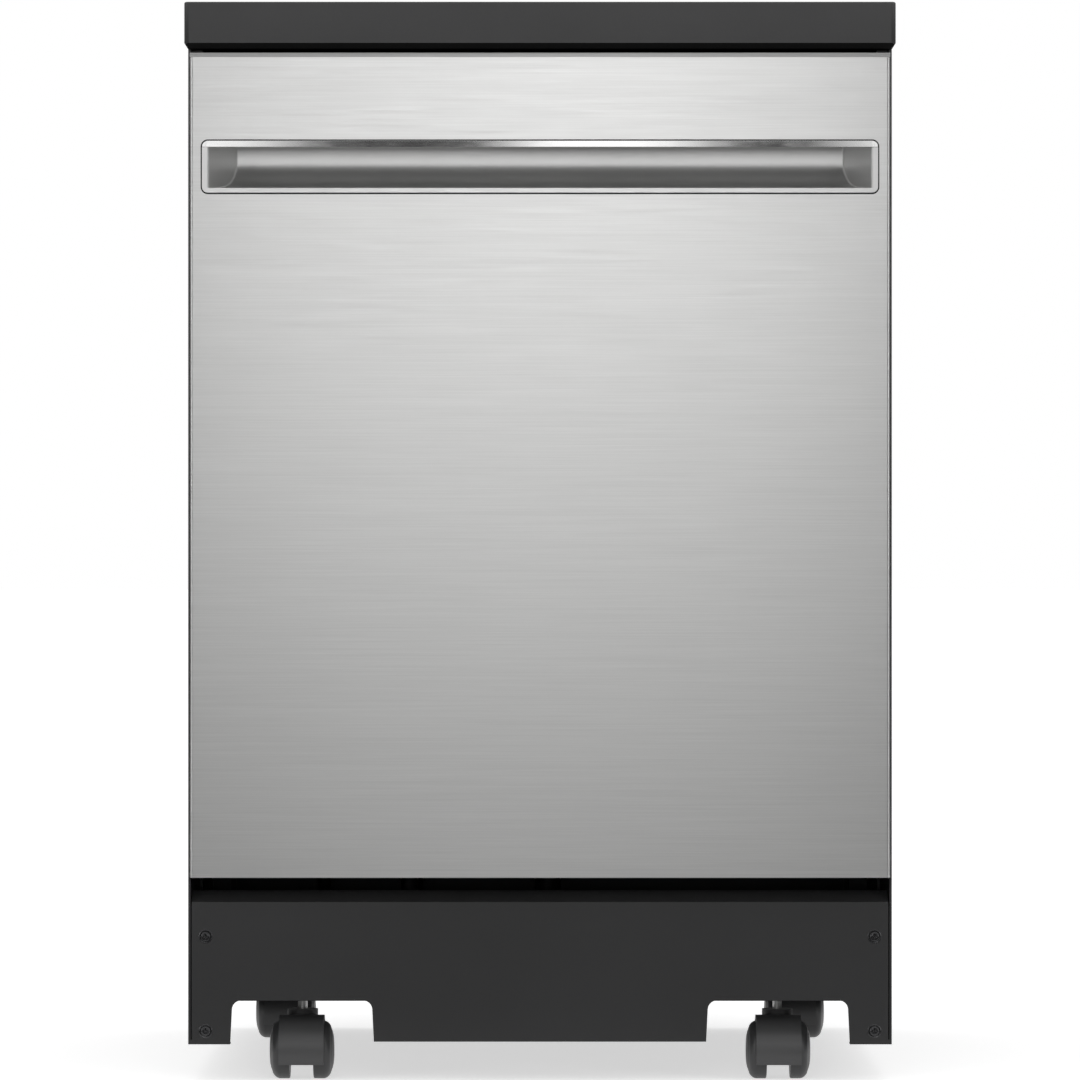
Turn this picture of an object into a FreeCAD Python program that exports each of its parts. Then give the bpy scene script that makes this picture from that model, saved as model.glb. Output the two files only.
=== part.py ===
"""Portable dishwasher on twin-wheel casters, modelled as an assembly.

Frame: +Z up, the door faces -Y, X runs across the machine. The origin is on the floor, under the
centre of the machine's outer box. All lengths are in millimetres.

The door turns on two hinge arms at its foot. Behind it are the wash tub with two racks, two spray
arms, the heater, the filter and the float. The pumps hang under the tub, in the base tray that the
casters carry. The hoses and the cord are kept in a pocket in the rear panel.
"""

import FreeCAD, Part

import math
import os

V = FreeCAD.Vector

# ---------------------------------------------------------------- overall
OVERALL_W = 609.6            # worktop width, 24 in
OVERALL_H = 927.0            # floor to worktop, 36.5 in
OVERALL_D = 654.0            # handle frame to rear panel, 25.75 in
RUN_GAP = 0.3                # clearance at rest between pieces that move past each other
FIT_GAP = 0.05               # radial clearance of a shaft in its bore

# ---------------------------------------------------------------- worktop
TOP_THICK = 40.0
TOP_SETBACK = 8.0            # the door face stands this far in front of the worktop
TOP_OVERHANG = 3.0           # past the rear panel, which leaves room for its screw heads
TOP_SIDE_OVERHANG = 2.8      # past each side panel
TOP_CORNER_R = 4.0           # vertical corners
TOP_EDGE_R = 1.6             # upper edge
TOP_CHAMFER_W = 3.0
TOP_CHAMFER_H = 4.7

# ---------------------------------------------------------------- cabinet
CAB_SETBACK = 22.0           # the door face stands this far in front of the cabinet
CAB_FOOT_Z = 37.0            # lower edge of the side panels
SHEET = 1.0
HEM_T = 2.0
HEM_D = 12.0
TOP_RAIL_H = 16.0
TOP_RAIL_D = 30.0

# ---------------------------------------------------------------- door
DOOR_SIDE_GAP = 2.5          # each side of the door to the cabinet's outer face
DOOR_TOP_GAP = 4.5           # under the worktop
DOOR_BOTTOM_Z = 177.2
DOOR_THICK = 59.5            # outer face to inner liner
DOOR_RETURN = 24.0           # depth of the outer skin's side returns
DOOR_EDGE_R = 2.6
SKIN = 1.0
CONSOLE_LIP = 3.6            # console plate, seen as a strip above the skin
CONSOLE_H = 34.0
CONSOLE_WALL = 2.0
LINER_DISH = 10.0            # the liner's middle is pressed this far towards the skin
LINER_RIM = 58.0             # width of the flat rim round the dish

# ---------------------------------------------------------------- handle
BEZEL_SIDE_GAP = 10.5        # door's side to the frame
BEZEL_BELOW_TOP = 75.1       # door's top to the frame
BEZEL_H = 44.6
BEZEL_R = 5.0
BEZEL_PROUD = 1.5
BEZEL_T = 3.2                # front to back, skirt not counted
BEZEL_GAP = 0.7              # between the bezel and the skin's cut-out
BEZEL_SIDE = 5.2             # widths of the four bars
BEZEL_TOP = 5.4
BEZEL_BOTTOM = 4.3
SCOOP_DEPTH = 38.0
SCOOP_UNDERCUT = 9.0         # the pocket reaches this far up behind the top bar
SCOOP_WALL = 2.0
SCOOP_SLANT = 23.6           # how far the pocket's ends lean in over its depth

# ---------------------------------------------------------------- door hinge
PIVOT_BEHIND_FACE = 35.5
PIVOT_BELOW_LINER = 7.2     # the skin reaches below the pivot, the liner stops above it
PIN_R = 4.0
HINGE_ARM_T = 3.0
HINGE_ARM_INSET = 11.5       # door's side to the arm's inner face
HINGE_BRACKET_T = 3.0
HINGE_STRAP_H = 120.0
HINGE_STRAP_D = 22.0
SPRING_R = 7.0
SPRING_WIRE = 2.0
SPRING_LENGTH = 140.0
SPRING_BEHIND_PIVOT = 104.0
SPRING_TAIL = 26.0

# ---------------------------------------------------------------- toe panel and base
TOE_BEND_Z = 155.2
TOE_LIP_RISE = 9.2
TOE_LIP_RUN = 18.0
TOE_T = 1.2
TOE_SIDE_GAP = 1.0
TOE_FOOT_Z = 33.0
TOE_MIDDLE_Z = 35.3
NOTCH_TOP_Z = 70.7
NOTCH_INSET = 36.0           # cabinet's side to the notch
NOTCH_W = 123.5
NOTCH_LEAN = 1.9
NOTCH_R = 8.0
TOE_SCREW_INSET = 14.9
TOE_SCREW_Z = (44.5, 125.6)
SCREW_HEAD_R = 4.4
SCREW_HEAD_H = 2.2
SCREW_R = 2.0
SCREW_LENGTH = 9.0
TRAY_BOTTOM_Z = 68.5
TRAY_T = 2.0
TRAY_FLANGE_H = 24.0
FRONT_POST_SETBACK = 56.0    # tub's flange to the front posts
REAR_POST_AHEAD = 82.0       # front faces of the rear posts to the tub's rear wall
POST_D = 24.0
LEDGE_W = 12.0
REAR_SCREW_LOW_Z = 110.0
REAR_SCREW_DROP = 37.0       # worktop to the highest screws

# ---------------------------------------------------------------- casters
WHEEL_R = 25.0
WHEEL_OUTER_X = 27.7
WHEEL_INNER_X = 10.2
HOOD_R = 30.0
HOOD_INNER_R = 26.4
HOOD_W = 38.9
HOOD_FOOT_Z = 13.5
HOOD_WEB_W = 18.0
HUB_R = 13.2
HUB_TOP_Z = 59.0
CASTER_TRAIL = 19.0
STEM_R = 4.0
STEM_BOTTOM_Z = 30.0
STEM_TOP_Z = 95.0
SOCKET_R = 11.0
SOCKET_TOP_Z = 100.0
AXLE_R = 3.0
FRONT_CASTER_INSET = 60.0    # notch's outer side to the stem
REAR_CASTER_INSET = 64.0     # cabinet's side to the stem
FRONT_CASTER_SETBACK = 67.0  # toe panel to the stem
REAR_CASTER_AHEAD = 102.5    # stem to the rear panel

# ---------------------------------------------------------------- tub
TUB_SIDE_SPACE = 29.0        # cabinet's side to the tub's inner wall
TUB_REAR_SPACE = 62.0
TUB_HEADROOM = 37.0          # tub's roof to the worktop
TUB_FLOOR_Z = 262.0          # the open door's liner is level with this
TUB_SILL = 9.4               # the floor's lip in front of the flange, under the door's seal
TUB_R = 18.0
TUB_FLANGE = 15.0
BASIN_SIDE = 68.0            # widths of the floor left round the basin
BASIN_FRONT = 66.0
BASIN_REAR = 62.0
BASIN_DEPTH = 18.0
GASKET_T = 10.0

# ---------------------------------------------------------------- wash parts
ARM_BEHIND_MIDDLE = 2.0      # of the tub's depth
ARM_WALL_GAP = 31.0
ARM_WIDTH = 38.0
ARM_H = 14.0
LOWER_ARM_LIFT = 12.0        # above the tub floor
MIDDLE_ARM_DROP = 34.0       # upper rack's floor to the arm
MIDDLE_ARM_SHORTER = 16.0
MANIFOLD_R = 8.0
ARM_NUT_H = 6.0
ARM_NUT_LAP = 4.0
MANIFOLD_LIFT = 8.0          # over the middle arm
MANIFOLD_EAR_W = 60.0
MANIFOLD_EAR_D = 10.0
MANIFOLD_EAR_PITCH = 125.0
HUB_POST_R = 11.0
BASIN_HOLE_GAP = 6.0         # round the arm's post
JET_R = 1.6
CIRCULATION_X = 20.0
CIRCULATION_BEHIND = 65.0    # behind the arms' axis
CIRCULATION_R = 26.0
CIRCULATION_LENGTH = 120.0
CIRCULATION_DUCT_R = 12.0
DRAIN_X = -110.0
DRAIN_BEHIND = 35.0
DRAIN_R = 18.0
DRAIN_LENGTH = 62.0
DRAIN_DUCT_R = 8.0
DRAIN_OUTLET_R = 8.0
PUMP_RIB = 1.5
VOLUTE_RATIO = 1.25          # volute's radius to the motor's
VALVE_INSET = 97.0           # cabinet's side to the valve
HEATER_R = 4.0
HEATER_LOOP_R = 150.0
HEATER_LIFT = 6.0            # under the ring
HEATER_CLIP_R = 2.5
FILTER_X = 70.0
FILTER_AHEAD = 75.0          # in front of the arms' axis
FILTER_R = 36.0
FILTER_WALL = 3.0
FILTER_SEAT_GAP = 2.0
FILTER_LIFT = 3.0            # the grip's top above the tub floor
SUMP_SIDE = 55.0             # basin's sides to the sump's
SUMP_FRONT = 20.0
SUMP_REAR = 80.0
SUMP_H = 42.0
SUMP_WALL = 3.0
FLOAT_INSET = 5.0            # inside the basin's left side
FLOAT_AHEAD = 32.0           # in front of the basin
FLOAT_R = 16.0
FLOAT_STEM_R = 5.0
FLOAT_STEM_GAP = 0.4
FLOAT_STEM_BELOW = 24.0      # under the tub's floor
FLOAT_H = 26.0
FEED_W = 44.0
FEED_D = 16.0
FEED_FOOT = 30.0             # duct's lower end above the basin's bottom
TOP_HEAD_R = 33.0
TOP_HEAD_H = 10.0
TOP_JET_RING_R = 20.0
JET_DEPTH = 4.0
DOCK_R = 15.4
DOCK_LENGTH = 10.0

# ---------------------------------------------------------------- racks
WIRE = 3.4
RACK_FRONT_GAP = 30.0        # liner rim to rack front, door shut
RACK_SIDE_GAP = 29.0         # rack to the tub's wall
LOWER_RACK_REAR_GAP = 28.0   # rack to the tub's rear wall
LOWER_RACK_LIFT = 46.0       # above the tub floor
LOWER_RACK_ARM_GAP = 64.0    # rack's rim to the middle arm
UPPER_RACK_REAR_GAP = 36.0
UPPER_RACK_DROP = 276.0      # tub's roof to the rack's floor
UPPER_RACK_H = 112.0
MAT_PITCH = 40.0
WALL_PITCH_Z = 44.0
TINE_PITCH = 32.0
TINE_ROWS = 4
LOWER_TINE_END = 46.0        # basket to the first row, and last row to the rack's rear
UPPER_TINE_FRONT = 70.0      # rack's front to the first row
UPPER_TINE_REAR = 60.0
LOWER_TINE_H = 82.0
UPPER_TINE_H = 58.0
RACK_WHEEL_R = 18.0
RACK_WHEEL_T = 10.0
RACK_WHEEL_SETBACK = 108.0
RACK_WHEEL_PLAY = 0.6        # beside the wheel, on its axle
RACK_AXLE_R = 3.0
AXLE_HEAD_T = 1.5
RAIL_H = 32.0
RAIL_T = 1.8
RAIL_LIFT = 28.0             # over the upper rack's floor
RAIL_REAR_GAP = 32.0
RAIL_WALL_GAP = 10.0         # middle of the rail's web to the tub's wall
ROLLER_T = 5.0
ROLLER_STUD_R = 4.0
RAIL_ROLLER_FRONT = 12.0     # rail's front to the first roller on the wall
RAIL_ROLLER_PITCH = 118.0
RACK_ROLLER_REAR = 24.0      # rack's rear to its last roller
RACK_ROLLER_PITCH = 138.0
RAIL_FLANGE = 8.0
BASKET_SIDE_GAP = 42.0       # basket to the rack's side
BASKET_FRONT_GAP = 6.0
BASKET_BELOW_RIM = 40.0      # how much lower the basket is than the rack
BASKET_D = 84.0
BASKET_R = 8.0
BASKET_SLOT_W = 6.0
BASKET_SLOT_PITCH = 12.0
BASKET_GRIP_T = 8.0
BASKET_CELLS = 5
BASKET_WALL = 2.4
BASKET_GRIP_H = 32.0         # the carrying bar's top above the rim

# ---------------------------------------------------------------- dispenser and controls
DISP_W = 190.0
DISP_H = 112.0
DISP_LIFT = 258.0            # above the tub's floor
DISP_PROUD = 3.0             # in front of the liner's rim, towards the tub
DISP_DEPTH = 34.0
CUP_W = 78.0
CUP_H = 62.0
CUP_DEPTH = 24.0
CUP_X = -44.0                # middle of the cup
LID_T = 3.0
LID_LAP = 4.0
CAP_R = 19.0
CAP_X = 52.0
CAP_T = 7.0
BUTTON_W = 22.0
BUTTON_D = 9.0
BUTTON_T = 5.0
BUTTON_PROUD = 0.8
BUTTON_X = (-150.0, -100.0, 150.0)
BUTTON_NAMES = ("power", "cycle", "start")
BUTTON_BEHIND_FACE = 15.0
BUTTON_TRAVEL = 1.2
LATCH_W = 68.0
LATCH_H = 30.0
LATCH_T = 3.0
KEEPER_W = 60.0
KEEPER_D = 22.0
BLANKET_T = 10.0
BLANKET_INSET = 5.0
BLANKET_BELOW_FRAME = 12.0
BOARD_W = 400.0
BOARD_T = 1.6
BOARD_DROP = 10.0            # below the console plate
DISPLAY_W = 64.0

# ---------------------------------------------------------------- rear pocket
POCKET_W = 300.0
POCKET_H = 260.0
POCKET_Z = 420.0
POCKET_DEPTH = 52.0
POCKET_WALL = 2.0
POCKET_FITTINGS = ((-70.0, 11.0), (0.0, 11.0), (70.0, 8.0))    # (x, radius): fill, drain, cord
FITTING_BELOW = 14.0
FITTING_ABOVE = 24.0
HOSE_BEND = 22.0
FILL_HOSE_R = 6.0
VALVE_PORT = 44.0
VALVE_PORT_Z = 16.0
VALVE_W = 40.0
VALVE_D = 32.0
VALVE_H = 34.0
VALVE_COIL_R = 14.0
VALVE_COIL_H = 28.0

# ---------------------------------------------------------------- derived places
FRONT_Y = -OVERALL_D / 2
REAR_Y = OVERALL_D / 2
FACE_Y = FRONT_Y + BEZEL_PROUD                  # outer face of the door
CAB_FRONT_Y = FACE_Y + CAB_SETBACK
TOP_FRONT_Y = FACE_Y + TOP_SETBACK
BACK_Y = REAR_Y - TOP_OVERHANG                  # outer face of the rear panel
CAB_W = OVERALL_W - 2 * TOP_SIDE_OVERHANG
CAB_TOP_Z = OVERALL_H - TOP_THICK
SIDE_IN_X = CAB_W / 2 - SHEET                   # inner face of a side panel
DOOR_W = CAB_W - 2 * DOOR_SIDE_GAP
DOOR_TOP_Z = CAB_TOP_Z - DOOR_TOP_GAP
LINER_Y = FACE_Y + DOOR_THICK
DISH_Y = LINER_Y - LINER_DISH
SKIN_TOP_Z = DOOR_TOP_Z - CONSOLE_LIP
HINGE_ARM_X = DOOR_W / 2 - HINGE_ARM_INSET
PIVOT_Y = FACE_Y + PIVOT_BEHIND_FACE
PIVOT_Z = TUB_FLOOR_Z - (LINER_Y - PIVOT_Y)
LINER_FOOT_Z = PIVOT_Z + PIVOT_BELOW_LINER
TOE_SCREW_X = CAB_W / 2 - TOE_SCREW_INSET
NOTCH_OUTER_X = CAB_W / 2 - NOTCH_INSET
NOTCH_INNER_X = NOTCH_OUTER_X - NOTCH_W
FRONT_CASTER_X = NOTCH_OUTER_X - FRONT_CASTER_INSET
REAR_CASTER_X = CAB_W / 2 - REAR_CASTER_INSET
FRONT_CASTER_Y = CAB_FRONT_Y + FRONT_CASTER_SETBACK
REAR_CASTER_Y = BACK_Y - REAR_CASTER_AHEAD
REAR_SCREW_TOP_Z = CAB_TOP_Z - REAR_SCREW_DROP
REAR_SCREW_Z = (REAR_SCREW_LOW_Z, (REAR_SCREW_LOW_Z + REAR_SCREW_TOP_Z) / 2, REAR_SCREW_TOP_Z)
TUB_W = CAB_W - 2 * TUB_SIDE_SPACE
TUB_IN_X = TUB_W / 2
TUB_FRONT_Y = LINER_Y + GASKET_T
TUB_BACK_Y = BACK_Y - TUB_REAR_SPACE
TUB_D = TUB_BACK_Y - TUB_FRONT_Y
TUB_TOP_Z = CAB_TOP_Z - TUB_HEADROOM
FRONT_POST_Y = TUB_FRONT_Y + FRONT_POST_SETBACK
REAR_POST_Y = TUB_BACK_Y - REAR_POST_AHEAD
BASIN_HALF_W = TUB_IN_X - BASIN_SIDE
BASIN_FRONT_Y = TUB_FRONT_Y + BASIN_FRONT
BASIN_BACK_Y = TUB_BACK_Y - BASIN_REAR
BASIN_Z = TUB_FLOOR_Z - BASIN_DEPTH
ARM_Y = (TUB_FRONT_Y + TUB_BACK_Y) / 2 + ARM_BEHIND_MIDDLE
ARM_R = min(TUB_W, TUB_D) / 2 - ARM_WALL_GAP
MIDDLE_ARM_R = ARM_R - MIDDLE_ARM_SHORTER
LOWER_ARM_Z = TUB_FLOOR_Z + LOWER_ARM_LIFT
CIRCULATION_Y = ARM_Y + CIRCULATION_BEHIND
DRAIN_Y = ARM_Y + DRAIN_BEHIND
VALVE_X = VALVE_INSET - CAB_W / 2
VALVE_Y = DRAIN_Y
FILTER_Y = ARM_Y - FILTER_AHEAD
FILTER_TOP_Z = TUB_FLOOR_Z + FILTER_LIFT
FLOAT_X = FLOAT_INSET - BASIN_HALF_W
FLOAT_Y = BASIN_FRONT_Y - FLOAT_AHEAD
RACK_FRONT_Y = LINER_Y + RACK_FRONT_GAP
RACK_W = TUB_W - 2 * RACK_SIDE_GAP
UPPER_RACK_Z = TUB_TOP_Z - UPPER_RACK_DROP
UPPER_RACK_D = TUB_BACK_Y - RACK_FRONT_Y - UPPER_RACK_REAR_GAP
MIDDLE_ARM_Z = UPPER_RACK_Z - MIDDLE_ARM_DROP
MANIFOLD_Z = MIDDLE_ARM_Z + ARM_H + MANIFOLD_LIFT
LOWER_RACK_Z = TUB_FLOOR_Z + LOWER_RACK_LIFT
LOWER_RACK_D = TUB_BACK_Y - RACK_FRONT_Y - LOWER_RACK_REAR_GAP
LOWER_RACK_H = MIDDLE_ARM_Z - LOWER_RACK_ARM_GAP - LOWER_RACK_Z
RAIL_Z = UPPER_RACK_Z + RAIL_LIFT
RAIL_X = TUB_IN_X - RAIL_WALL_GAP
RAIL_LENGTH = TUB_BACK_Y - RACK_FRONT_Y - RAIL_REAR_GAP
BASKET_W = RACK_W - 2 * BASKET_SIDE_GAP
BASKET_H = LOWER_RACK_H - BASKET_BELOW_RIM
DISP_Z = TUB_FLOOR_Z + DISP_LIFT
BEZEL_W = DOOR_W - 2 * BEZEL_SIDE_GAP
BEZEL_TOP_Z = DOOR_TOP_Z - BEZEL_BELOW_TOP
BEZEL_BOTTOM_Z = BEZEL_TOP_Z - BEZEL_H
POCKET_LOW_Z = BEZEL_BOTTOM_Z + BEZEL_BOTTOM    # the handle's clear opening
POCKET_HIGH_Z = BEZEL_TOP_Z - BEZEL_TOP
POCKET_HALF_W = BEZEL_W / 2 - BEZEL_SIDE
TRAY_TOP_Z = TRAY_BOTTOM_Z + TRAY_T
X_AXIS = V(1, 0, 0)
Y_AXIS = V(0, 1, 0)
Z_AXIS = V(0, 0, 1)


# ================================================================ helpers
def box(x0, x1, y0, y1, z0, z1):
    """A block between two corners."""
    return Part.makeBox(x1 - x0, y1 - y0, z1 - z0, V(x0, y0, z0))


def rod(r, start, end):
    """A round bar from one point to another."""
    way = V(*end) - V(*start)
    return Part.makeCylinder(r, way.Length, V(*start), way)


def ring(outer_r, inner_r, start, end):
    return rod(outer_r, start, end).cut(rod(inner_r, start, end))


def join(shapes):
    """One solid from touching or overlapping pieces."""
    shapes = list(shapes)
    if len(shapes) == 1:
        return shapes[0]
    return shapes[0].multiFuse(shapes[1:]).removeSplitter()


def minus(shape, tools):
    return shape.cut(Part.makeCompound(list(tools)))


def mirror_x(shape):
    return shape.mirror(V(0, 0, 0), X_AXIS)


def both_sides(shape):
    return [shape, mirror_x(shape)]


def moved(shape, x=0.0, y=0.0, z=0.0):
    copy = shape.copy()
    copy.translate(V(x, y, z))
    return copy


def polygon(points):
    """A flat face from corner points."""
    corners = [V(*p) for p in points]
    return Part.Face(Part.makePolygon(corners + corners[:1]))


def prism_x(profile_yz, x0, x1):
    """A profile in the YZ plane, given as (y, z) corners, drawn out along X."""
    return polygon([(x0, y, z) for y, z in profile_yz]).extrude(V(x1 - x0, 0, 0))


def prism_y(profile_xz, y0, y1):
    return polygon([(x, y0, z) for x, z in profile_xz]).extrude(V(0, y1 - y0, 0))


def rounded(shape, radius, wanted):
    """Fillets the edges for which wanted(edge) holds."""
    return shape.makeFillet(radius, [e for e in shape.Edges if wanted(e)])


def runs_along(edge, axis):
    """Whether a straight edge lies along an axis."""
    if len(edge.Vertexes) != 2:
        return False
    way = edge.Vertexes[1].Point - edge.Vertexes[0].Point
    return way.Length > 0 and abs(abs(way.dot(axis)) - way.Length) < 1e-6


def slab_y(half_w, z0, z1, y0, y1, r):
    """A plate facing Y with four rounded corners."""
    return rounded(box(-half_w, half_w, y0, y1, z0, z1), r, lambda e: runs_along(e, Y_AXIS))


def slab_z(x0, x1, y0, y1, z0, z1, r):
    """A plate facing Z with four rounded corners."""
    return rounded(box(x0, x1, y0, y1, z0, z1), r, lambda e: runs_along(e, Z_AXIS))


def spread(low, high, pitch):
    """Even places from low to high, about a pitch apart."""
    steps = max(1, round((high - low) / pitch))
    return [low + (high - low) * i / steps for i in range(steps + 1)]


# ================================================================ wire mats
def grid_face(u_places, v_places, point):
    """A flat grid of square wire as one face: a plate with a window in every mesh."""
    half = WIRE / 2

    def loop(u0, u1, v0, v1):
        corners = [point(u0, v0), point(u1, v0), point(u1, v1), point(u0, v1)]
        return Part.makePolygon(corners + corners[:1])

    outer = loop(u_places[0] - half, u_places[-1] + half, v_places[0] - half, v_places[-1] + half)
    windows = []
    for u0, u1 in zip(u_places, u_places[1:]):
        for v0, v1 in zip(v_places, v_places[1:]):
            windows.append(loop(u0 + half, u1 - half, v0 + half, v1 - half))
    return Part.makeFace([outer] + windows, "Part::FaceMakerCheese")


def mat_z(x_places, y_places, z):
    """A wire mat lying flat, with its lower face at z."""
    return grid_face(x_places, y_places, lambda u, v: V(u, v, z)).extrude(V(0, 0, WIRE))


def mat_y(x_places, z_places, y):
    """A wire mat standing across the machine, with its front face at y."""
    return grid_face(x_places, z_places, lambda u, v: V(u, y, v)).extrude(V(0, WIRE, 0))


def mat_x(y_places, z_places, x):
    """A wire mat standing along the machine, with its left face at x."""
    return grid_face(y_places, z_places, lambda u, v: V(x, u, v)).extrude(V(WIRE, 0, 0))


def tine_row(x_places, y, z, height):
    """A comb of tines in one row: a foot wire with a tine at each place."""
    half = WIRE / 2
    outline = [(x_places[0] - half, z)]
    for i, x in enumerate(x_places):
        if i:
            outline.append((x - half, z + WIRE))
        outline += [(x - half, z + height), (x + half, z + height)]
        if i < len(x_places) - 1:
            outline.append((x + half, z + WIRE))
    outline.append((x_places[-1] + half, z))
    return prism_y(outline, y, y + WIRE)


def wire_basket(depth, z, height, rows_from_y, rows_to_y, tine_height):
    """A rack: a floor mat, four wall mats that stand on its rim, and rows of tines."""
    half = WIRE / 2
    front = RACK_FRONT_Y + half
    back = RACK_FRONT_Y + depth - half
    side = RACK_W / 2 - half
    xs = spread(-side, side, MAT_PITCH)
    ys = spread(front, back, MAT_PITCH)
    floor = mat_z(xs, ys, z)
    rim_z = z + WIRE + half
    zs = spread(rim_z, z + height - half, WALL_PITCH_Z)
    wall_ys = spread(front + WIRE, back - WIRE, MAT_PITCH)
    walls = [mat_y(xs, zs, front - half), mat_y(xs, zs, back - half)]
    walls += [mat_x(wall_ys, zs, -side - half), mat_x(wall_ys, zs, side - half)]
    tine_side = side - MAT_PITCH / 2
    tine_xs = spread(-tine_side, tine_side, TINE_PITCH)
    pitch = (rows_to_y - rows_from_y) / (TINE_ROWS - 1)
    rows = [tine_row(tine_xs, rows_from_y + pitch * i, z + WIRE, tine_height) for i in range(TINE_ROWS)]
    return [floor] + walls + rows


# ================================================================ cabinet
def chamfer_ring():
    """What the bevel round the worktop's lower edge takes away."""
    half, y0, y1, z = OVERALL_W / 2, TOP_FRONT_Y, REAR_Y, CAB_TOP_Z
    w, top = TOP_CHAMFER_W, CAB_TOP_Z + TOP_CHAMFER_H
    lower = polygon([(w - half, y0 + w, z), (half - w, y0 + w, z), (half - w, y1 - w, z), (w - half, y1 - w, z)])
    upper = polygon([(-half, y0, top), (half, y0, top), (half, y1, top), (-half, y1, top)])
    kept = Part.makeLoft([lower.OuterWire, upper.OuterWire], True)
    return box(-half, half, y0, y1, z, top).cut(kept)


def worktop():
    """The worktop, a laminated board with rounded corners and a bevel round its lower edge."""
    half = OVERALL_W / 2
    block = slab_z(-half, half, TOP_FRONT_Y, REAR_Y, CAB_TOP_Z, OVERALL_H, TOP_CORNER_R)
    block = rounded(block, TOP_EDGE_R, lambda e: e.BoundBox.ZMin > OVERALL_H - 1e-3)
    return block.cut(chamfer_ring())


def side_panel(side):
    """A folded side panel: a plain sheet with a hemmed front edge and a flange at the rear."""
    outer = CAB_W / 2
    sheet = box(outer - SHEET, outer, CAB_FRONT_Y, BACK_Y - SHEET, CAB_FOOT_Z, CAB_TOP_Z)
    hem = box(outer - HEM_T, outer, CAB_FRONT_Y, CAB_FRONT_Y + HEM_D, CAB_FOOT_Z, CAB_TOP_Z)
    flange = box(outer - HEM_D, outer, BACK_Y - 2 * SHEET, BACK_Y - SHEET, CAB_FOOT_Z, CAB_TOP_Z)
    top = box(outer - HEM_D, outer, CAB_FRONT_Y + HEM_D, BACK_Y - SHEET, CAB_TOP_Z - SHEET, CAB_TOP_Z)
    panel = join([sheet, hem, flange, top])
    panel = minus(panel, [rod(SCREW_R, (outer - HEM_D / 2, BACK_Y - HEM_D, z), (outer - HEM_D / 2, BACK_Y, z))
                          for z in REAR_SCREW_Z])
    return panel if side > 0 else mirror_x(panel)


def rear_panel():
    """The rear sheet, with the hose pocket's window and its screw holes."""
    half = CAB_W / 2
    sheet = box(-half, half, BACK_Y - SHEET, BACK_Y, CAB_FOOT_Z, CAB_TOP_Z)
    window = box(-POCKET_W / 2, POCKET_W / 2, BACK_Y - HEM_D, BACK_Y + HEM_D, POCKET_Z, POCKET_Z + POCKET_H)
    window = rounded(window, HEM_D, lambda e: runs_along(e, Y_AXIS))
    holes = [rod(SCREW_R, (sx * (half - HEM_D / 2), BACK_Y - HEM_D, z), (sx * (half - HEM_D / 2), BACK_Y, z))
             for z in REAR_SCREW_Z for sx in (-1, 1)]
    return minus(sheet, [window] + holes)


def top_rail():
    """The cross rail under the worktop's front, between the side panels and in front of the tub."""
    half = CAB_W / 2 - HEM_T
    y0 = LINER_Y + GASKET_T
    front = box(-half, half, y0, y0 + SHEET, CAB_TOP_Z - TOP_RAIL_H, CAB_TOP_Z)
    shelf = box(-half, half, y0, y0 + TOP_RAIL_D, CAB_TOP_Z - SHEET, CAB_TOP_Z)
    lap = CAB_W / 2 - HEM_D
    ends = both_sides(box(lap, half, y0, y0 + TOP_RAIL_D, CAB_TOP_Z - SHEET, CAB_TOP_Z))
    return minus(join([front, shelf]), ends)


def toe_panel():
    """The lower front panel: two caster notches, a lip that slopes back at the top and two feet."""
    half = CAB_W / 2 - HEM_T - TOE_SIDE_GAP
    foot_half = CAB_W / 2
    y0, y1 = CAB_FRONT_Y, CAB_FRONT_Y + TOE_T
    face = box(-half, half, y0, y1, TOE_MIDDLE_Z, TOE_BEND_Z)
    legs = []
    for sx in (-1, 1):
        low, high = sorted((sx * NOTCH_OUTER_X, sx * foot_half))
        legs.append(box(low, high, y0, y1, TOE_FOOT_Z, CAB_FOOT_Z))
        low, high = sorted((sx * NOTCH_OUTER_X, sx * half))
        legs.append(box(low, high, y0, y1, CAB_FOOT_Z, CAB_FOOT_Z + TOE_T))
        low, high = sorted((sx * NOTCH_OUTER_X, sx * foot_half))
        legs.append(box(low, high, y1, y1 + HEM_D, TOE_FOOT_Z, TOE_FOOT_Z + TOE_T))
    slope = TOE_LIP_RISE / TOE_LIP_RUN
    lip = prism_x([(y0, TOE_BEND_Z), (y0 + TOE_LIP_RUN, TOE_BEND_Z + TOE_LIP_RISE),
                   (y0 + TOE_LIP_RUN, TOE_BEND_Z + TOE_LIP_RISE - TOE_T),
                   (y1, TOE_BEND_Z + TOE_T * slope - TOE_T)], -half, half)
    panel = join([face, lip] + legs)
    notches = []
    for sx in (-1, 1):
        corners = [(sx * NOTCH_OUTER_X, TOE_FOOT_Z - 1), (sx * (NOTCH_OUTER_X - NOTCH_LEAN), NOTCH_TOP_Z),
                   (sx * (NOTCH_INNER_X + NOTCH_LEAN), NOTCH_TOP_Z), (sx * NOTCH_INNER_X, TOE_FOOT_Z - 1)]
        notch = prism_y(corners, y0 - 1, y1 + HEM_D + 1)
        notches.append(rounded(notch, NOTCH_R, lambda e: runs_along(e, Y_AXIS) and e.CenterOfMass.z > NOTCH_TOP_Z - 1))
    holes = [rod(SCREW_R, (sx * TOE_SCREW_X, y0 - 1, z), (sx * TOE_SCREW_X, y1 + 1, z))
             for sx in (-1, 1) for z in TOE_SCREW_Z]
    return minus(panel, notches + holes)


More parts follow.
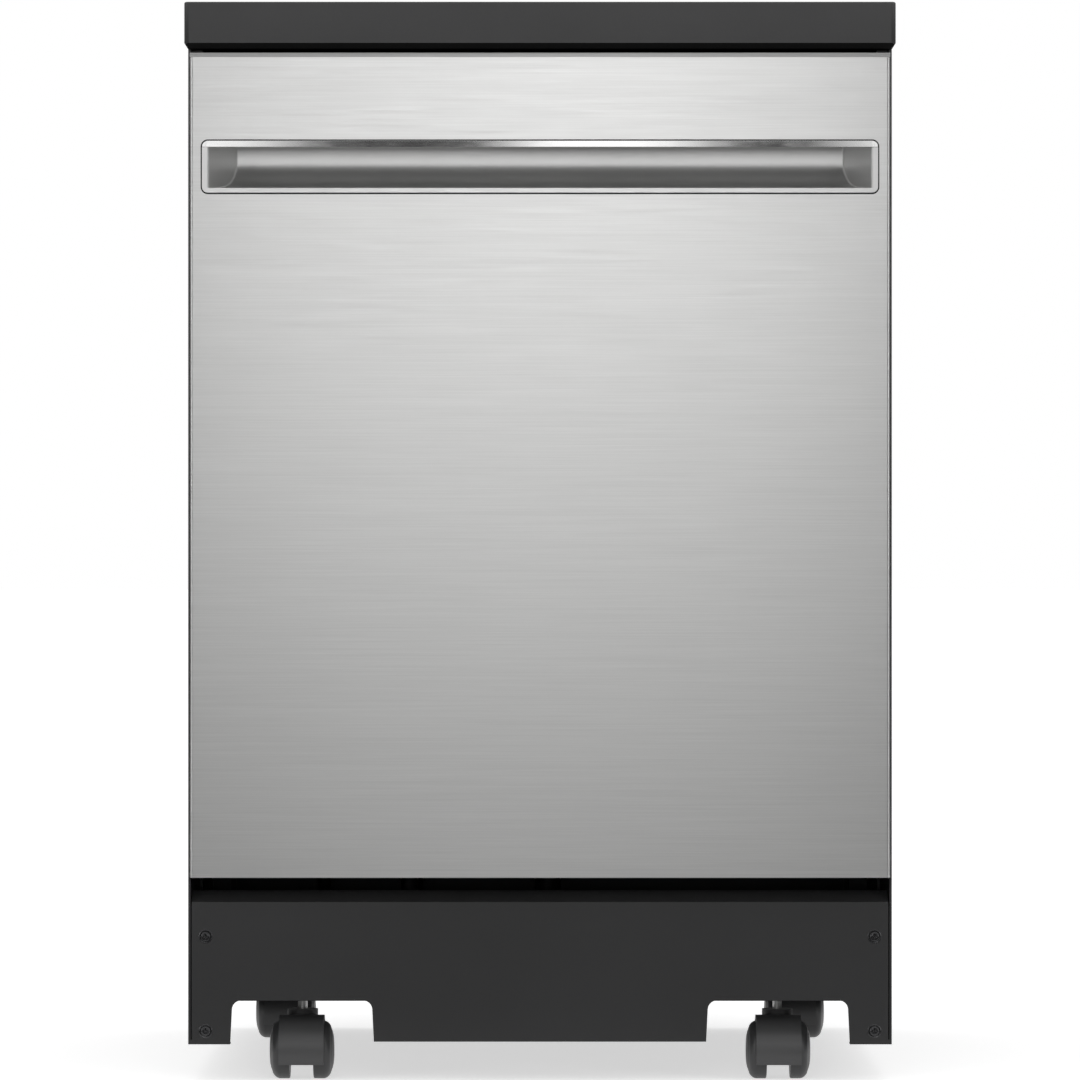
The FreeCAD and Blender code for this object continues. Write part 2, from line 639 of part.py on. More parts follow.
def toe_brackets():
    """Two upright angles in front of the tray, which the toe panel's screws hold, as their flats."""
    y0 = CAB_FRONT_Y + TOE_T
    y1 = y0 + 2 * HEM_D
    z0, z1 = TOE_FOOT_Z + TOE_T, TOE_BEND_Z - 2 * TOE_T
    outer = SIDE_IN_X - HEM_T
    inner = outer - 2 * HEM_D
    plate = box(inner, outer, y0, y0 + HEM_T, z0, z1)
    web = box(outer - SHEET, outer, y0 + HEM_T, y1, z0, z1)
    tab = box(inner, outer, y1, y1 + SHEET, TRAY_BOTTOM_Z, z1)
    holes = [rod(SCREW_R, (TOE_SCREW_X, y0, z), (TOE_SCREW_X, y0 + HEM_D, z)) for z in TOE_SCREW_Z]
    return [s for flat in (minus(plate, holes), web, tab) for s in both_sides(flat)]


def pan_screw(x, y, z, into):
    """A cross-head screw along Y. into is +1 if it is driven towards +Y."""
    head = rod(SCREW_HEAD_R, (x, y - into * SCREW_HEAD_H, z), (x, y, z))
    rim = [e for e in head.Edges if abs(e.BoundBox.YMin - (y - into * SCREW_HEAD_H)) < 1e-4
           and abs(e.BoundBox.YMax - (y - into * SCREW_HEAD_H)) < 1e-4]
    head = head.makeFillet(SCREW_HEAD_H * 0.7, rim)
    shank = rod(SCREW_R, (x, y, z), (x, y + into * SCREW_LENGTH, z))
    slot = SCREW_HEAD_R * 0.55
    thin = SCREW_HEAD_R * 0.11
    deep = SCREW_HEAD_H * 0.6
    low, high = sorted((y - into * SCREW_HEAD_H, y - into * (SCREW_HEAD_H - deep)))
    cross = [box(x - slot, x + slot, low, high, z - thin, z + thin),
             box(x - thin, x + thin, low, high, z - slot, z + slot)]
    turned = Part.makeCompound(cross)
    turned.rotate(V(x, y, z), Y_AXIS, 28)
    return join([head, shank]).cut(turned)


def panel_screws():
    """The four screws of the toe panel and the six of the rear panel."""
    toe = [pan_screw(sx * TOE_SCREW_X, CAB_FRONT_Y, z, 1) for sx in (-1, 1) for z in TOE_SCREW_Z]
    rear_x = CAB_W / 2 - HEM_D / 2
    rear = [pan_screw(sx * rear_x, BACK_Y, z, -1) for sx in (-1, 1) for z in REAR_SCREW_Z]
    return toe + rear


def caster_places():
    """Stem position of each caster, by name."""
    return {"fl": (-FRONT_CASTER_X, FRONT_CASTER_Y), "fr": (FRONT_CASTER_X, FRONT_CASTER_Y),
            "rl": (-REAR_CASTER_X, REAR_CASTER_Y), "rr": (REAR_CASTER_X, REAR_CASTER_Y)}


def tray_half_w():
    return SIDE_IN_X - HEM_T - 2 * SHEET


def tub_post(y):
    """An upright on the tray's right wall and the ledge on it that the tub's floor rests on."""
    half = tray_half_w()
    top = TUB_FLOOR_Z - SHEET
    post = box(half - TRAY_T, half, y, y + POST_D, TRAY_TOP_Z + TRAY_FLANGE_H, top)
    ledge = box(TUB_IN_X - TUB_R - LEDGE_W, half - TRAY_T, y, y + POST_D, top - TRAY_T, top)
    return [post, ledge]


def spring_lug():
    """The upright that holds the tail of the right balance spring."""
    y = PIVOT_Y + SPRING_BEHIND_PIVOT + SPRING_LENGTH + SPRING_TAIL
    return box(spring_x() - SPRING_R, tray_half_w() - TRAY_T, y, y + TRAY_T, TRAY_TOP_Z, PIVOT_Z + SPRING_R)


def base_tray():
    """The welded steel tray that carries the machine: floor, walls, caster sockets, posts and lugs."""
    half = tray_half_w()
    y0 = CAB_FRONT_Y + TOE_T + 2 * HEM_D + SHEET
    y1 = BACK_Y - 2 * SHEET
    z0, z1 = TRAY_TOP_Z, TRAY_TOP_Z + TRAY_FLANGE_H
    places = caster_places().values()
    bores = [rod(STEM_R + FIT_GAP, (x, y, TRAY_BOTTOM_Z), (x, y, STEM_TOP_Z)) for x, y in places]
    floor = box(-half, half, y0, y1, TRAY_BOTTOM_Z, TRAY_TOP_Z)
    sides = both_sides(box(half - TRAY_T, half, y0, y1, z0, z1))
    front = box(TRAY_T - half, half - TRAY_T, y0, y0 + TRAY_T, z0, z1)
    rear = moved(front, 0, y1 - y0 - TRAY_T)
    sockets = [rod(SOCKET_R, (x, y, z0), (x, y, SOCKET_TOP_Z)) for x, y in places]
    bored = [minus(plate, bores) for plate in [floor] + sockets]
    posts = [s for y in (FRONT_POST_Y, REAR_POST_Y) for flat in tub_post(y) for s in both_sides(flat)]
    return bored + sides + [front, rear] + posts + both_sides(spring_lug())


# ================================================================ casters
def caster_stems():
    return [rod(STEM_R, (x, y, STEM_BOTTOM_Z), (x, y, STEM_TOP_Z)) for x, y in caster_places().values()]


def caster_hood():
    """A caster's hood about a stem at x = y = 0: a band over the wheels, a web between and a hub."""
    half = HOOD_W / 2
    web = HOOD_WEB_W / 2
    axle = (-CASTER_TRAIL, WHEEL_R)
    drum = rod(HOOD_R, (-half, axle[0], axle[1]), (half, axle[0], axle[1]))
    hollow = rod(HOOD_INNER_R, (-half, axle[0], axle[1]), (half, axle[0], axle[1]))
    middle = rod(HOOD_INNER_R, (-web, axle[0], axle[1]), (web, axle[0], axle[1]))
    band = drum.cut(hollow)
    reach = CASTER_TRAIL + HOOD_R
    band = band.common(box(-half, half, -reach, HUB_R / 2, HOOD_FOOT_Z, WHEEL_R + HOOD_R))
    rear_foot = box(-half, half, axle[0], HUB_R, HOOD_FOOT_Z, WHEEL_R + HOOD_R / 2)
    band = band.cut(rear_foot)
    middle = middle.common(box(-web, web, -reach, HUB_R, HOOD_FOOT_Z, WHEEL_R + HOOD_R))
    block = box(-web, web, axle[0], HUB_R - 4, HOOD_FOOT_Z + 4, WHEEL_R + HOOD_R * 0.8)
    collar_z = WHEEL_R + HOOD_INNER_R * 0.98
    hub = rod(HUB_R, (0, 0, collar_z), (0, 0, HUB_TOP_Z))
    bore = rod(STEM_R + FIT_GAP, (0, 0, STEM_BOTTOM_Z - RUN_GAP), (0, 0, HUB_TOP_Z))
    axle_bore = rod(AXLE_R + FIT_GAP, (-half, axle[0], axle[1]), (half, axle[0], axle[1]))
    return minus(join([band, middle, block, hub]), [bore, axle_bore])


def caster_wheel():
    """One wheel, domed on its outer side, turned about the X axis through y = z = 0."""
    inner, outer, r = WHEEL_INNER_X, WHEEL_OUTER_X, WHEEL_R
    bore = AXLE_R
    edge = 0.8
    tread_end = inner + (outer - inner) * 0.52
    shoulder = V(outer - (outer - tread_end) * 0.26, 0, r * 0.74)
    dome = V(outer, 0, r * 0.36)
    points = [V(inner, 0, bore), V(inner, 0, r - edge), V(inner + edge, 0, r), V(tread_end, 0, r)]
    sides = [Part.makeLine(a, b) for a, b in zip(points, points[1:])]
    bulge = V(tread_end + (shoulder.x - tread_end) * 0.66, 0, r * 0.91)
    sides.append(Part.Arc(points[-1], bulge, shoulder).toShape())
    waist = V(outer - (outer - shoulder.x) * 0.34, 0, (shoulder.z + dome.z) / 2 + r * 0.02)
    sides.append(Part.Arc(shoulder, waist, dome).toShape())
    cap_in = V(outer - edge, 0, r * 0.30)
    sides.append(Part.makeLine(dome, cap_in))
    sides.append(Part.makeLine(cap_in, V(outer - edge, 0, bore)))
    sides.append(Part.makeLine(V(outer - edge, 0, bore), points[0]))
    return Part.Face(Part.Wire(sides)).revolve(V(0, 0, 0), X_AXIS, 360)


def caster_wheels():
    """Two wheels and the axle they are pressed on, about a stem at x = y = 0."""
    wheel = moved(caster_wheel(), 0, -CASTER_TRAIL, WHEEL_R)
    tip = WHEEL_OUTER_X - 1.5
    axle = rod(AXLE_R, (-tip, -CASTER_TRAIL, WHEEL_R), (tip, -CASTER_TRAIL, WHEEL_R))
    return both_sides(wheel) + [axle]


# ================================================================ tub
def tub_corner(x, z, sx, sz, shape):
    """The quarter of a shape about the Y line through (x, z) that lies outwards along sx and sz."""
    reach = TUB_R + SHEET
    x0, x1 = sorted((x, x + sx * reach))
    z0, z1 = sorted((z, z + sz * reach))
    return shape.common(box(x0, x1, TUB_FRONT_Y, TUB_BACK_Y, z0, z1))


def tub_corners():
    """The four bent corners of the tub's wrapper, and the fillets of the front frame's corners."""
    y0, y1, y2 = TUB_FRONT_Y, TUB_FRONT_Y + SHEET, TUB_BACK_Y
    made = []
    for sx in (-1, 1):
        for sz, z in ((-1, TUB_FLOOR_Z + TUB_R), (1, TUB_TOP_Z - TUB_R)):
            x = sx * (TUB_IN_X - TUB_R)
            bend = ring(TUB_R + SHEET, TUB_R, (x, y1, z), (x, y2, z))
            square = box(x - TUB_R, x + TUB_R, y0, y1, z - TUB_R, z + TUB_R)
            fillet = square.cut(rod(TUB_R, (x, y0, z), (x, y1, z)))
            made += [tub_corner(x, z, sx, sz, bend), tub_corner(x, z, sx, sz, fillet)]
    return made


def tub_frame():
    """The front flange round the tub's mouth, and the lip of the floor in front of it."""
    x, z0, z1 = TUB_IN_X, TUB_FLOOR_Z, TUB_TOP_Z
    y0, y1 = TUB_FRONT_Y, TUB_FRONT_Y + SHEET
    sides = both_sides(box(x, x + TUB_FLANGE, y0, y1, z0 - TUB_FLANGE, z1 + TUB_FLANGE))
    top = box(-x, x, y0, y1, z1, z1 + TUB_FLANGE)
    foot = box(-x, x, y0, y1, z0 - TUB_FLANGE, z0)
    sill = box(TUB_R - x, x - TUB_R, y0 - TUB_SILL, y0, z0 - SHEET, z0)
    return sides + [top, foot, sill]


def tub_wrapper():
    """The tub's side walls, roof and rear wall."""
    x, z0, z1 = TUB_IN_X, TUB_FLOOR_Z, TUB_TOP_Z
    y0, y1 = TUB_FRONT_Y + SHEET, TUB_BACK_Y
    walls = both_sides(box(x, x + SHEET, y0, y1, z0 + TUB_R, z1 - TUB_R))
    roof = box(TUB_R - x, x - TUB_R, y0, y1, z1, z1 + SHEET)
    rear = slab_y(x + SHEET, z0 - SHEET, z1 + SHEET, y1, y1 + SHEET, TUB_R + SHEET)
    return walls + [roof, rear]


def tub_floor():
    """The floor round the basin, with the float's hole, and the basin's walls and bottom."""
    x, half, z = TUB_IN_X - TUB_R, BASIN_HALF_W, TUB_FLOOR_Z - SHEET
    y0, y1, y2, y3 = TUB_FRONT_Y + SHEET, BASIN_FRONT_Y, BASIN_BACK_Y, TUB_BACK_Y
    float_hole = rod(FLOAT_STEM_R + FLOAT_STEM_GAP, (FLOAT_X, FLOAT_Y, z), (FLOAT_X, FLOAT_Y, TUB_FLOOR_Z))
    front = box(-x, x, y0, y1, z, TUB_FLOOR_Z).cut(float_hole)
    rear = box(-x, x, y2, y3, z, TUB_FLOOR_Z)
    sides = both_sides(box(half, x, y1, y2, z, TUB_FLOOR_Z))
    walls = both_sides(box(half, half + SHEET, y1 - SHEET, y2 + SHEET, BASIN_Z, z))
    walls += [box(-half, half, y1 - SHEET, y1, BASIN_Z, z), box(-half, half, y2, y2 + SHEET, BASIN_Z, z)]
    bottom = box(-half - SHEET, half + SHEET, y1 - SHEET, y2 + SHEET, BASIN_Z - SHEET, BASIN_Z)
    hub_hole = rod(HUB_POST_R + BASIN_HOLE_GAP, (0, ARM_Y, BASIN_Z - SHEET), (0, ARM_Y, BASIN_Z))
    filter_hole = rod(FILTER_R + FILTER_SEAT_GAP, (FILTER_X, FILTER_Y, BASIN_Z - SHEET),
                      (FILTER_X, FILTER_Y, BASIN_Z))
    return [front, rear] + sides + walls + [minus(bottom, [hub_hole, filter_hole])]


def tub():
    """The stainless tub, as the sheets that it is welded from, open towards the door."""
    return tub_wrapper() + tub_corners() + tub_frame() + tub_floor()


def tub_gasket():
    """The rubber seal round the tub's mouth, up both sides and across the top."""
    x = TUB_IN_X + TUB_FLANGE
    inner_x = TUB_IN_X + 1
    y0 = LINER_Y + RUN_GAP
    z0 = TUB_FLOOR_Z
    outer = box(-x, x, y0, TUB_FRONT_Y, z0, TUB_TOP_Z + TUB_FLANGE)
    outer = rounded(outer, TUB_R, lambda e: runs_along(e, Y_AXIS) and e.CenterOfMass.z > TUB_TOP_Z)
    hole = box(-inner_x, inner_x, y0 - 1, TUB_FRONT_Y + 1, z0 - 1, TUB_TOP_Z + 1)
    hole = rounded(hole, TUB_R / 2, lambda e: runs_along(e, Y_AXIS) and e.CenterOfMass.z > TUB_TOP_Z)
    seal = outer.cut(hole)
    return rounded(seal, 2.0, lambda e: abs(e.BoundBox.YMax - y0) < 1e-4 and e.BoundBox.ZMax > z0 + 1)


def sump():
    """The moulded sump under the basin, with the post that carries the lower spray arm."""
    top, wall = BASIN_Z - SHEET, SUMP_WALL
    low = top - SUMP_H
    half = BASIN_HALF_W - SUMP_SIDE
    y0, y1 = BASIN_FRONT_Y + SUMP_FRONT, BASIN_BACK_Y - SUMP_REAR
    outer = slab_z(-half, half, y0, y1, low, top, TUB_R)
    inner = slab_z(wall - half, half - wall, y0 + wall, y1 - wall, low + wall, top, TUB_R - wall)
    cup = rod(FILTER_R + FILTER_SEAT_GAP, (FILTER_X, FILTER_Y, low), (FILTER_X, FILTER_Y, low + wall))
    post = rod(HUB_POST_R, (0, ARM_Y, low), (0, ARM_Y, LOWER_ARM_Z + ARM_H))
    return join([outer.cut(inner), cup, post])


def pump_body(x, y, r, length, duct_r):
    """A pump lying along X on the tray: a ribbed motor can, a volute and a duct up to the sump."""
    nose_r = r * VOLUTE_RATIO
    z = TRAY_TOP_Z + nose_r
    can = rod(r, (x, y, z), (x + length, y, z))
    volute = rod(nose_r, (x - r, y, z), (x, y, z))
    duct = rod(duct_r, (x - r / 2, y, z), (x - r / 2, y, BASIN_Z - SHEET - SUMP_H))
    starts = [x + length * part for part in (0.2, 0.5, 0.8)]
    ribs = [rod(r + PUMP_RIB, (start, y, z), (start + 2 * PUMP_RIB, y, z)) for start in starts]
    return join([can, volute, duct] + ribs)


def circulation_pump():
    return pump_body(CIRCULATION_X, CIRCULATION_Y, CIRCULATION_R, CIRCULATION_LENGTH, CIRCULATION_DUCT_R)


def drain_outlet():
    """X and Z of the drain pump's outlet."""
    return DRAIN_X - DRAIN_R / 2, TRAY_TOP_Z + DRAIN_R * VOLUTE_RATIO


def drain_pump():
    """The drain pump, with an outlet towards the rear."""
    x, z = drain_outlet()
    outlet = rod(DRAIN_OUTLET_R, (x, DRAIN_Y, z), (x, DRAIN_Y + 2 * DRAIN_R, z))
    return join([pump_body(DRAIN_X, DRAIN_Y, DRAIN_R, DRAIN_LENGTH, DRAIN_DUCT_R), outlet])


def heater_point(angle):
    """X and Y on the heater's ring."""
    a = math.radians(angle)
    return HEATER_LOOP_R * math.cos(a), ARM_Y + HEATER_LOOP_R * math.sin(a)


def heating_element():
    """The heater: a ring of tube in the basin, with two legs and four clips down to its bottom."""
    z = BASIN_Z + HEATER_R + HEATER_LIFT
    half_opening = 10
    centre = V(0, ARM_Y, z)
    torus = Part.makeTorus(HEATER_LOOP_R, HEATER_R, centre, Z_AXIS, 0, 360, 360 - 2 * half_opening)
    torus.rotate(centre, Z_AXIS, 90 + half_opening)
    pieces = [torus]
    for angle in (90 - half_opening, 90 + half_opening):
        x, y = heater_point(angle)
        pieces += [rod(HEATER_R, (x, y, BASIN_Z), (x, y, z)), Part.makeSphere(HEATER_R, V(x, y, z))]
    for angle in (0, 180, 250, 290):
        x, y = heater_point(angle)
        pieces.append(rod(HEATER_CLIP_R, (x, y, BASIN_Z), (x, y, z)))
    return join(pieces)


def spray_feed_tube():
    """The flat duct up the tub's rear wall and along its roof, with the top spray head."""
    y1 = TUB_BACK_Y
    y0 = y1 - FEED_D
    half = FEED_W / 2
    top = TUB_TOP_Z
    head_z = top - FEED_D - TOP_HEAD_H
    upright = box(-half, half, y0, y1, BASIN_Z + FEED_FOOT, top)
    roof = box(-half, half, ARM_Y, y1, top - FEED_D, top)
    head = rod(TOP_HEAD_R, (0, ARM_Y, head_z), (0, ARM_Y, top))
    dock = rod(DOCK_R, (0, y0 - DOCK_LENGTH, MANIFOLD_Z), (0, y0, MANIFOLD_Z))
    jets = []
    for i in range(8):
        x = TOP_JET_RING_R * math.cos(i * math.pi / 4)
        y = ARM_Y + TOP_JET_RING_R * math.sin(i * math.pi / 4)
        jets.append(rod(JET_R, (x, y, head_z), (x, y, head_z + JET_DEPTH)))
    return minus(join([upright, roof, head, dock]), jets)


def spray_arm(radius, z, post_r):
    """A two-bladed spray arm about x = 0, y = ARM_Y, tapered to its tips, with a row of jets."""
    half, tip = ARM_WIDTH / 2, ARM_WIDTH / 3.2
    outline = [(-radius, -tip), (0, -half), (radius, -tip), (radius, tip), (0, half), (-radius, tip)]
    blade = polygon([(x, ARM_Y + y, z) for x, y in outline]).extrude(V(0, 0, ARM_H))
    blade = rounded(blade, tip * 0.85, lambda e: runs_along(e, Z_AXIS) and abs(e.CenterOfMass.x) > 1)
    hub = rod(ARM_WIDTH * 0.62, (0, ARM_Y, z), (0, ARM_Y, z + ARM_H))
    blade = join([blade, hub])
    blade = rounded(blade, 2.5, lambda e: e.BoundBox.ZMin > z + ARM_H - 1e-3)
    jets = []
    for i, x in enumerate(spread(radius * 0.2, radius * 0.92, radius * 0.14)):
        for sx in (-1, 1):
            y = ARM_Y + (3 if i % 2 else -3) * sx
            jets.append(rod(JET_R, (sx * x, y, z + ARM_H - 2), (sx * x, y, z + ARM_H)))
    bore = [rod(post_r + 2 * FIT_GAP, (0, ARM_Y, z), (0, ARM_Y, z + ARM_H))] if post_r else []
    return minus(blade, jets + bore)


def upper_manifold():
    """The tube on the upper rack that feeds the middle arm from the dock on the rear duct."""
    z, arm_z, lap = MANIFOLD_Z, MIDDLE_ARM_Z, MANIFOLD_R / 4
    y1 = TUB_BACK_Y - FEED_D - DOCK_LENGTH - RUN_GAP
    tube = rod(MANIFOLD_R, (0, ARM_Y, z), (0, y1, z))
    flange = rod(DOCK_R, (0, y1 - MANIFOLD_R, z), (0, y1, z))
    drop = rod(HUB_POST_R, (0, ARM_Y, arm_z - ARM_NUT_H), (0, ARM_Y, z + MANIFOLD_R))
    nut = rod(HUB_POST_R + ARM_NUT_LAP, (0, ARM_Y, arm_z - ARM_NUT_H), (0, ARM_Y, arm_z - RUN_GAP))
    shoulder = rod(HUB_POST_R + ARM_NUT_LAP, (0, ARM_Y, arm_z + ARM_H + RUN_GAP), (0, ARM_Y, z))
    half = MANIFOLD_EAR_W / 2
    ear_y = ARM_Y - MANIFOLD_EAR_D / 2
    ears = [box(-half, half, y, y + MANIFOLD_EAR_D, z - lap, UPPER_RACK_Z)
            for y in (ear_y, ear_y + MANIFOLD_EAR_PITCH)]
    return join([tube, flange, drop, nut, shoulder] + ears)


def filter_basket():
    """The cylinder filter, with a grip across its top."""
    low = BASIN_Z - SHEET - SUMP_H + SUMP_WALL + RUN_GAP
    inner_r = FILTER_R - FILTER_WALL
    x, y, top = FILTER_X, FILTER_Y, FILTER_TOP_Z
    shell = ring(FILTER_R, inner_r, (x, y, low), (x, y, top - 2 * FILTER_WALL))
    floor = rod(FILTER_R, (x, y, low), (x, y, low + FILTER_WALL))
    lip_r = FILTER_R + 2 * FILTER_WALL
    lip = ring(lip_r, inner_r, (x, y, BASIN_Z + RUN_GAP), (x, y, BASIN_Z + FILTER_WALL))
    grip = box(x - FILTER_WALL, x + FILTER_WALL, y - inner_r - 1, y + inner_r + 1, top - 4 * FILTER_WALL, top)
    return join([shell, floor, lip, grip])


def float_dome():
    """The overfill float, on a stem through the tub floor."""
    z = TUB_FLOOR_Z + RUN_GAP
    dome = rod(FLOAT_R, (FLOAT_X, FLOAT_Y, z), (FLOAT_X, FLOAT_Y, z + FLOAT_H))
    dome = rounded(dome, FLOAT_R * 0.6, lambda e: e.BoundBox.ZMin > z + FLOAT_H - 1e-3)
    stem = rod(FLOAT_STEM_R, (FLOAT_X, FLOAT_Y, TUB_FLOOR_Z - FLOAT_STEM_BELOW), (FLOAT_X, FLOAT_Y, z))
    return join([dome, stem])


# ================================================================ plumbing and rear pocket
def pocket_back_y():
    """The front face of the pocket's inner wall, towards the tub."""
    return BACK_Y - SHEET - POCKET_DEPTH


def connector_lane_y():
    return pocket_back_y() + POCKET_DEPTH / 2


def hose_pocket():
    """The moulded recess in the rear panel, with three holes in its floor."""
    half, z0, z1 = POCKET_W / 2, POCKET_Z, POCKET_Z + POCKET_H
    y0, y1 = pocket_back_y(), BACK_Y - SHEET
    outer = slab_y(half, z0, z1, y0, y1, HEM_D)
    inner = slab_y(half - POCKET_WALL, z0 + POCKET_WALL, z1 - POCKET_WALL, y0 + POCKET_WALL, REAR_Y, HEM_D - POCKET_WALL)
    rim = slab_y(half + HEM_D, z0 - HEM_D, z1 + HEM_D, y1 - POCKET_WALL, y1, HEM_D)
    lane = connector_lane_y()
    holes = [rod(r + FIT_GAP, (x, lane, z0 - 1), (x, lane, z0 + 2 * POCKET_WALL)) for x, r in POCKET_FITTINGS]
    return minus(join([outer, rim]), [inner] + holes)


def pocket_fittings():
    """The fill fitting, the drain fitting and the cord's grommet, upright in the pocket's floor."""
    lane = connector_lane_y()
    made = []
    for x, r in POCKET_FITTINGS:
        tube = rod(r, (x, lane, POCKET_Z - FITTING_BELOW), (x, lane, POCKET_Z + FITTING_ABOVE))
        collar = rod(r + 4, (x, lane, POCKET_Z + POCKET_WALL), (x, lane, POCKET_Z + 2 * POCKET_WALL))
        bore = rod(r * 0.6, (x, lane, POCKET_Z - FITTING_BELOW), (x, lane, POCKET_Z + FITTING_ABOVE))
        made.append(join([tube, collar]).cut(bore))
    return made


def inlet_valve():
    """The solenoid valve on the tray, with its coil and its outlet."""
    x, y, z = VALVE_X, VALVE_Y, TRAY_TOP_Z
    half_w, half_d = VALVE_W / 2, VALVE_D / 2
    body = box(x - half_w, x + half_w, y - half_d, y + half_d, z, z + VALVE_H)
    coil = rod(VALVE_COIL_R, (x, y, z + VALVE_H), (x, y, z + VALVE_H + VALVE_COIL_H))
    port = rod(FILL_HOSE_R, (x, y + half_d, z + VALVE_PORT_Z), (x, y + VALVE_PORT, z + VALVE_PORT_Z))
    return join([body, coil, port])


def hose(points, outer_r, bend):
    """A hose along straight runs with round bends."""
    corners = [V(*p) for p in points]
    edges = []
    start = corners[0]
    for before, corner, after in zip(corners, corners[1:], corners[2:]):
        into = (corner - before).normalize()
        away = (after - corner).normalize()
        turn = into.getAngle(away)
        cut = bend * math.tan(turn / 2)
        a = corner - into * cut
        b = corner + away * cut
        inward = (away - into).normalize()
        middle = corner + inward * (bend / math.cos(turn / 2) - bend)
        edges.append(Part.makeLine(start, a))
        edges.append(Part.Arc(a, middle, b).toShape())
        start = b
    edges.append(Part.makeLine(start, corners[-1]))
    section = Part.Wire(Part.makeCircle(outer_r, corners[0], corners[1] - corners[0]))
    return Part.Wire(edges).makePipeShell([section], True, True)


def plumbing_hoses():
    """The fill hose from the valve and the drain hose from the drain pump, up to the pocket's floor."""
    lane = connector_lane_y()
    (x_fill, _), (x_drain, _), _ = POCKET_FITTINGS
    top = POCKET_Z - FITTING_BELOW
    valve_z = TRAY_TOP_Z + VALVE_PORT_Z
    turn_z = POCKET_Z - 3 * HOSE_BEND
    fill = hose([(VALVE_X, VALVE_Y + VALVE_PORT, valve_z), (VALVE_X, lane, valve_z), (VALVE_X, lane, turn_z),
                 (x_fill, lane, turn_z), (x_fill, lane, top)], FILL_HOSE_R, HOSE_BEND)
    pump_x, pump_z = drain_outlet()
    drain_turn = turn_z - 2 * HOSE_BEND
    drain = hose([(pump_x, DRAIN_Y + 2 * DRAIN_R, pump_z), (pump_x, lane, pump_z), (pump_x, lane, drain_turn),
                  (x_drain, lane, drain_turn), (x_drain, lane, top)], DRAIN_OUTLET_R, HOSE_BEND)
    return [fill, drain]


# ================================================================ door
def door_outer_panel():
    """The folded stainless skin: front, two side returns and a foot, with the handle's cut-out."""
    half = DOOR_W / 2
    y1 = FACE_Y + DOOR_RETURN
    outer = box(-half, half, FACE_Y, y1, DOOR_BOTTOM_Z, SKIN_TOP_Z)
    outer = rounded(outer, DOOR_EDGE_R, lambda e: runs_along(e, Z_AXIS) and e.CenterOfMass.y < FACE_Y + 1)
    inner = box(-half + SKIN, half - SKIN, FACE_Y + SKIN, y1, DOOR_BOTTOM_Z + SKIN, SKIN_TOP_Z)
    inner = rounded(inner, DOOR_EDGE_R - SKIN, lambda e: runs_along(e, Z_AXIS) and e.CenterOfMass.y < FACE_Y + SKIN + 1)
    window = slab_y(BEZEL_W / 2 + BEZEL_GAP, BEZEL_BOTTOM_Z - BEZEL_GAP, BEZEL_TOP_Z + BEZEL_GAP,
                    FACE_Y - 1, FACE_Y + DOOR_RETURN / 2, BEZEL_R + BEZEL_GAP)
    return minus(outer, [inner, window])


def liner_rim():
    """The liner's flat rim, as its four flats."""
    half, z0, z1 = DOOR_W / 2, LINER_FOOT_Z, SKIN_TOP_Z
    y0, y1 = LINER_Y - SHEET, LINER_Y
    inner = half - LINER_RIM
    sides = both_sides(box(inner, half, y0, y1, z0, z1))
    return sides + [box(-inner, inner, y0, y1, z0, z0 + LINER_RIM), box(-inner, inner, y0, y1, z1 - LINER_RIM, z1)]


def liner_dish():
    """The dish's walls, and its bottom round the dispenser's window."""
    half = DOOR_W / 2 - LINER_RIM
    z0, z1 = LINER_FOOT_Z + LINER_RIM, SKIN_TOP_Z - LINER_RIM
    y0, y1, y2 = DISH_Y - SHEET, DISH_Y, LINER_Y - SHEET
    walls = both_sides(box(half, half + SHEET, y0, y2, z0 - SHEET, z1 + SHEET))
    walls += [box(-half, half, y0, y2, z0 - SHEET, z0), box(-half, half, y0, y2, z1, z1 + SHEET)]
    window = DISP_W / 2
    bottom = both_sides(box(window, half, y0, y1, z0, z1))
    bottom += [box(-window, window, y0, y1, z0, DISP_Z), box(-window, window, y0, y1, DISP_Z + DISP_H, z1)]
    return walls + bottom


def liner_flanges():
    """The liner's edges, bent towards the skin; the hinge arms pass through the lower one."""
    half, z0, z1 = DOOR_W / 2, LINER_FOOT_Z, SKIN_TOP_Z
    y0, y1 = FACE_Y + DOOR_RETURN, LINER_Y - SHEET
    slot0, slot1 = HINGE_ARM_X - RUN_GAP, HINGE_ARM_X + HINGE_ARM_T + RUN_GAP
    sides = both_sides(box(half - SHEET, half, y0, y1, z0, z1))
    foot = [box(-slot0, slot0, y0, y1, z0, z0 + SHEET)] + both_sides(box(slot1, half - SHEET, y0, y1, z0, z0 + SHEET))
    return sides + foot + [box(SHEET - half, half - SHEET, y0, y1, z1 - SHEET, z1)]


def door_inner_panel():
    """The pressed stainless liner: a rim, a dished middle, and flanges towards the skin."""
    return liner_rim() + liner_dish() + liner_flanges()


def console_walls_y():
    """Front and rear faces of the walls below the console plate, inside the skin's returns."""
    return FACE_Y + SKIN, FACE_Y + DOOR_RETURN


def control_board():
    """The circuit board across the console's walls, with a switch under each button."""
    y0, y1 = console_walls_y()
    y0, y1 = y0 + CONSOLE_WALL, y1 - CONSOLE_WALL
    top = SKIN_TOP_Z - BOARD_DROP
    board = box(-BOARD_W / 2, BOARD_W / 2, y0, y1, top - BOARD_T, top)
    y = FACE_Y + BUTTON_BEHIND_FACE
    switch_top = DOOR_TOP_Z + BUTTON_PROUD - BUTTON_T - BUTTON_TRAVEL - RUN_GAP
    switches = [box(x - 3, x + 3, y - 3, y + 3, top, switch_top) for x in BUTTON_X]
    return join([board] + switches)


